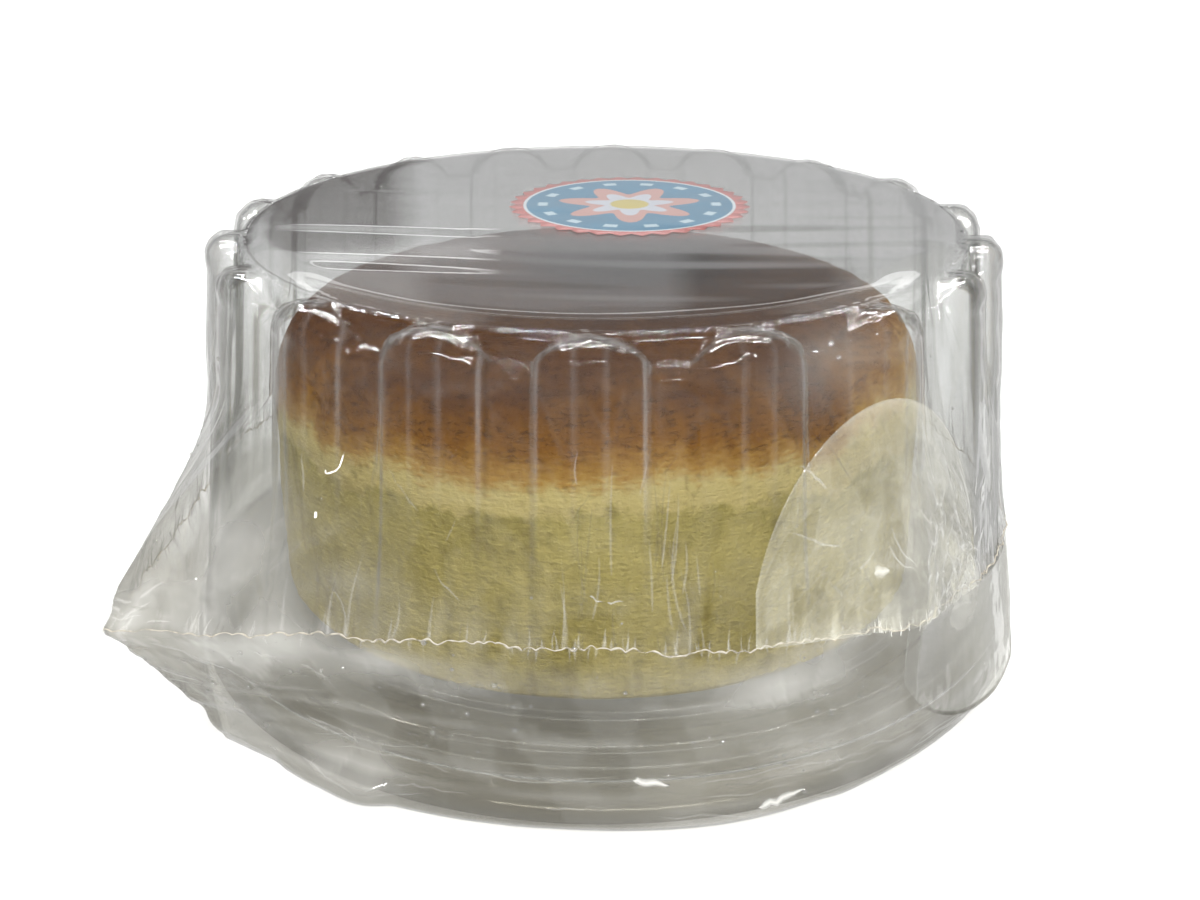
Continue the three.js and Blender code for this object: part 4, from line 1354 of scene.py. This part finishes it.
class CHEESECAKE_OT_tray(PieceOperator, bpy.types.Operator):
    """Make the clear base tray"""

    bl_idname = "cheesecake.tray"
    bl_label = "Base tray"

    def build(self):
        radius, height, bent = tray_profile()
        bearing = around(300)[None, :]
        points = swept_points(bearing, radius[:, None], height[:, None])
        mesh = ring_mesh("base_tray", points, (0.0, 0.0, PLATFORM))
        # Painted highlight lines along the tray's bends, and a slightly darker share on its flats
        paint(mesh, "milk", 0.14 * bent[:, None] + 0 * bearing, (0.0,))
        paint(mesh, "shade", 0.10 * (1 - bent[:, None]) + 0 * bearing, (0.1,))
        piece = add_piece("moulded_tray", mesh, tray_finish(), ["base_tray"])
        thicken(piece, pack_settings().sheet)


class CHEESECAKE_OT_dome(PieceOperator, bpy.types.Operator):
    """Make the fluted dome"""

    bl_idname = "cheesecake.dome"
    bl_label = "Dome"

    def build(self):
        piece = add_piece("fluted_dome", make_dome_mesh(), dome_finish(), ["dome_lid"])
        piece.visible_shadow = False
        thicken(piece, pack_settings().sheet)


class CHEESECAKE_OT_label(PieceOperator, bpy.types.Operator):
    """Make the round label"""

    bl_idname = "cheesecake.label"
    bl_label = "Label"

    def build(self):
        add_piece("round_label", make_label_mesh(), label_finish(), ["label"])


class CHEESECAKE_OT_film(PieceOperator, bpy.types.Operator):
    """Make the sealed film with its seam, loose edges, painted crease highlights and shades, and beads of
    damp
    """

    bl_idname = "cheesecake.film"
    bl_label = "Film wrap"

    def build(self):
        settings = pack_settings()
        wrap_finish = film_finish("clear_film", settings.film_tint, 0.013, FILM_HAZE)
        flap_finish = film_finish("clear_flap", settings.flap_tint, 0.045, FLAP_HAZE)
        crease_light_and_shade_finish = film_finish("film_crease_light_and_shade", CREASE_TINT, 0.006, CREASE_HIGHLIGHT_HAZE)
        wrap = add_piece("film_bag", make_film_mesh(), wrap_finish, ["film_wrap"])
        overlap = add_piece("film_overlap", make_overlap_mesh(), flap_finish)
        hem = add_piece("film_hem", make_loose_edge_mesh(), flap_finish)
        seam = add_piece("film_seam", make_seam_mesh(), seam_finish())
        lines = add_piece("film_crease_lights_and_shades", make_crease_light_and_shade_mesh(), crease_light_and_shade_finish)
        beads = add_piece("damp_beads", make_beads_mesh(), bead_finish())
        for flap in (overlap, hem):
            thicken(flap, FLAP_SHEET)
        for piece in (wrap, overlap, hem, seam, lines, beads):
            piece.visible_shadow = False


class CHEESECAKE_OT_stage(PieceOperator, bpy.types.Operator):
    """Make the floor, lights and camera"""

    bl_idname = "cheesecake.stage"
    bl_label = "Stage"

    def build(self):
        settings = bpy.context.scene.cheesecake_stage
        self.make_floor()
        self.make_world()
        self.make_sun("key", settings.sun_strength, 50, 38, -2)
        self.make_sun("fill", settings.fill_strength, 140, -72, 0)
        self.make_tube("tube_behind", (0.0, 0.62, 1.15), (1.7, 0.06), 0.65 * settings.tube_strength)
        self.make_tube("tube_overhead", (-0.1, 0.02, 1.25), (1.5, 0.06), 0.6 * settings.tube_strength)
        self.make_tube("tube_in_front", (0.1, -2.2, 1.15), (2.6, 0.11), 1.5 * settings.tube_strength)
        self.make_camera(settings)
        scene = bpy.context.scene
        scene.view_settings.view_transform = "Standard"
        scene.cycles.transparent_max_bounces = 32
        scene.cycles.max_bounces = 6
        scene.cycles.diffuse_bounces = 2
        scene.cycles.glossy_bounces = 3

    def make_floor(self):
        """A wide pale floor."""
        half = 6.0
        points = np.array([
            [(half, -half, 0.0), (-half, -half, 0.0)], [(half, half, 0.0), (-half, half, 0.0)]])
        mesh = patch_mesh("floor", points)
        finish = Finish("pale_floor")
        mottle = finish.noise(6.0, detail=2.0)
        colour = finish.mix(mottle, (0.83, 0.83, 0.825), (0.86, 0.86, 0.855))
        shader = finish.node("ShaderNodeBsdfPrincipled", {}, {
            "Base Color": colour, "Roughness": 0.8, "Specular IOR Level": 0.0})
        mesh.materials.append(finish.finished(shader))
        floor = bpy.data.objects.new("floor", mesh)
        bpy.context.scene.collection.objects.link(floor)
        floor.visible_glossy = False

    def make_world(self):
        """Room that lights the pack and is mirrored in it. By height over the horizon: a far wall, a dim
        band, a bright rail and a pale ceiling, with paler walls at the sides, a dark doorway and a bright
        bar at the back left, and a dark post at the back right. Below the horizon: a pale counter with
        strips of light round it."""
        room = Finish("room", "worlds")
        way = room.node("ShaderNodeTexCoord", output="Generated")
        x, y, z = (room.node("ShaderNodeSeparateXYZ", {}, {"Vector": way}, output=axis) for axis in "XYZ")
        bearing = new_math(room.tree, "ARCTAN2", (x, y))
        far_wall = (0.59, 0.59, 0.60)
        upper_wall = (0.40, 0.40, 0.41)
        dim_band = (0.28, 0.28, 0.285)
        walls = room.node("ShaderNodeValToRGB", {"stops": [
            (0.0, far_wall), (0.262, far_wall), (0.280, upper_wall), (0.308, upper_wall), (0.320, dim_band),
            (0.37, dim_band), (0.40, (0.16, 0.16, 0.16)), (0.60, (0.17, 0.17, 0.175)),
            (0.75, (0.5, 0.5, 0.5)), (1.0, (0.8, 0.8, 0.8))]}, {"Fac": z})
        wall_edge = (0.262, 0.284)
        door = self.between(bearing, -17.0, -8.4) * (1.0 - z.step(*wall_edge))
        post = self.between(bearing, 2.4, 8.8) * self.band(z, wall_edge, (0.36, 0.37))
        over_wall = self.band(z, (0.27, 0.29), (0.55, 0.65))
        right_side = self.between(bearing, 10.0, 170.0) * over_wall
        left_side = self.between(bearing, -170.0, -8.0) * over_wall
        rail = self.band(z, (0.37, 0.375), (0.395, 0.40))
        bar = self.between(bearing, -12.4, -5.4) * self.band(z, (0.266, 0.268), (0.272, 0.274))
        colour = room.mix(right_side * 0.85, walls, (0.55, 0.55, 0.54))
        colour = room.mix(left_side * 0.85, colour, (0.72, 0.72, 0.72))
        colour = room.mix(door * 0.95, colour, (0.05, 0.035, 0.04))
        colour = room.mix(post * 0.8, colour, (0.06, 0.055, 0.055))
        colour = room.mix((0.8 * rail + bar).clamped(), colour, (2.6, 2.6, 2.6))
        strips = (bearing * 9.0 + 0.6).sine().step(0.72, 0.92) * self.band(z, (-0.75, -0.6), (-0.3, -0.15))
        counter = room.mix(strips, (0.80, 0.80, 0.79), (1.3, 1.3, 1.3))
        colour = room.mix(1.0 - z.step(-0.02, 0.0), colour, counter)
        bpy.context.scene.world = room.finished(room.node("ShaderNodeBackground", {}, {"Color": colour}))

    @staticmethod
    def band(height, start, end):
        """1 between two heights and 0 outside them, straight across the start and the end."""
        return height.step(*start) * (1.0 - height.step(*end))

    @staticmethod
    def between(bearing, left, right):
        """1 between two bearings in degrees and 0 outside them."""
        soft = 0.025
        begin = bearing.step(math.radians(left), math.radians(left) + soft)
        return begin * (1.0 - bearing.step(math.radians(right), math.radians(right) + soft))

    def make_sun(self, name, strength, breadth, tilt, turn):
        """Broad soft light, which lights the cake but isn't mirrored. Its breadth, its tilt from straight
        down, towards the back where it is positive, and its turn are in degrees."""
        light = bpy.data.lights.new(name, "SUN")
        light.energy = strength
        light.angle = math.radians(breadth)
        lamp = bpy.data.objects.new(name, light)
        lamp.rotation_euler = (math.radians(tilt), 0.0, math.radians(turn))
        lamp.visible_glossy = False
        bpy.context.scene.collection.objects.link(lamp)

    def make_tube(self, name, place, size, strength):
        """A long lamp that looks at the cake, seen only in reflections."""
        light = bpy.data.lights.new(name, "AREA")
        light.shape = "RECTANGLE"
        light.size, light.size_y = size
        light.energy = strength
        lamp = bpy.data.objects.new(name, light)
        lamp.location = place
        lamp.rotation_euler = (math.atan2(-place[1], place[2]), 0.0, 0.0)
        lamp.visible_diffuse = False
        bpy.context.scene.collection.objects.link(lamp)

    def make_camera(self, settings):
        """The camera at the photograph's viewing angle."""
        lens = bpy.data.cameras.new("camera")
        lens.sensor_width = 36.0
        lens.sensor_fit = "HORIZONTAL"
        lens.lens = settings.lens
        lens.shift_x = settings.shift
        camera = bpy.data.objects.new("camera", lens)
        camera.location = (0.0, -settings.camera_distance, settings.camera_height)
        camera.rotation_euler = (math.pi / 2 - settings.camera_pitch, 0.0, 0.0)
        bpy.context.scene.collection.objects.link(camera)
        bpy.context.scene.camera = camera


class CHEESECAKE_PT_sidebar(bpy.types.Panel):
    """Lists the settings and the operators"""

    bl_label = "Packed Cheesecake"
    bl_space_type = "VIEW_3D"
    bl_region_type = "UI"
    bl_category = "Cheesecake"

    def draw(self, context):
        for name in GROUPS:
            group = getattr(context.scene, name)
            for key in group.__annotations__:
                self.layout.prop(group, key)
        for operator in OPERATORS:
            self.layout.operator(operator.bl_idname)


GROUPS = {
    "cheesecake_cake": CakeSettings, "cheesecake_pack": PackSettings, "cheesecake_stage": StageSettings}
OPERATORS = (CHEESECAKE_OT_cake, CHEESECAKE_OT_tray, CHEESECAKE_OT_dome, CHEESECAKE_OT_label,
             CHEESECAKE_OT_film, CHEESECAKE_OT_stage)
CLASSES = (*GROUPS.values(), *OPERATORS, CHEESECAKE_PT_sidebar)


def register():
    for cls in CLASSES:
        bpy.utils.register_class(cls)
    for name, group in GROUPS.items():
        setattr(bpy.types.Scene, name, PointerProperty(type=group))


def unregister():
    for name in GROUPS:
        delattr(bpy.types.Scene, name)
    for cls in reversed(CLASSES):
        bpy.utils.unregister_class(cls)


def main():
    register()
    bpy.ops.cheesecake.cake()
    bpy.ops.cheesecake.tray()
    bpy.ops.cheesecake.dome()
    bpy.ops.cheesecake.label()
    bpy.ops.cheesecake.film()
    bpy.ops.cheesecake.stage()
    bpy.context.view_layer.update()


if __name__ == "__main__":
    main()
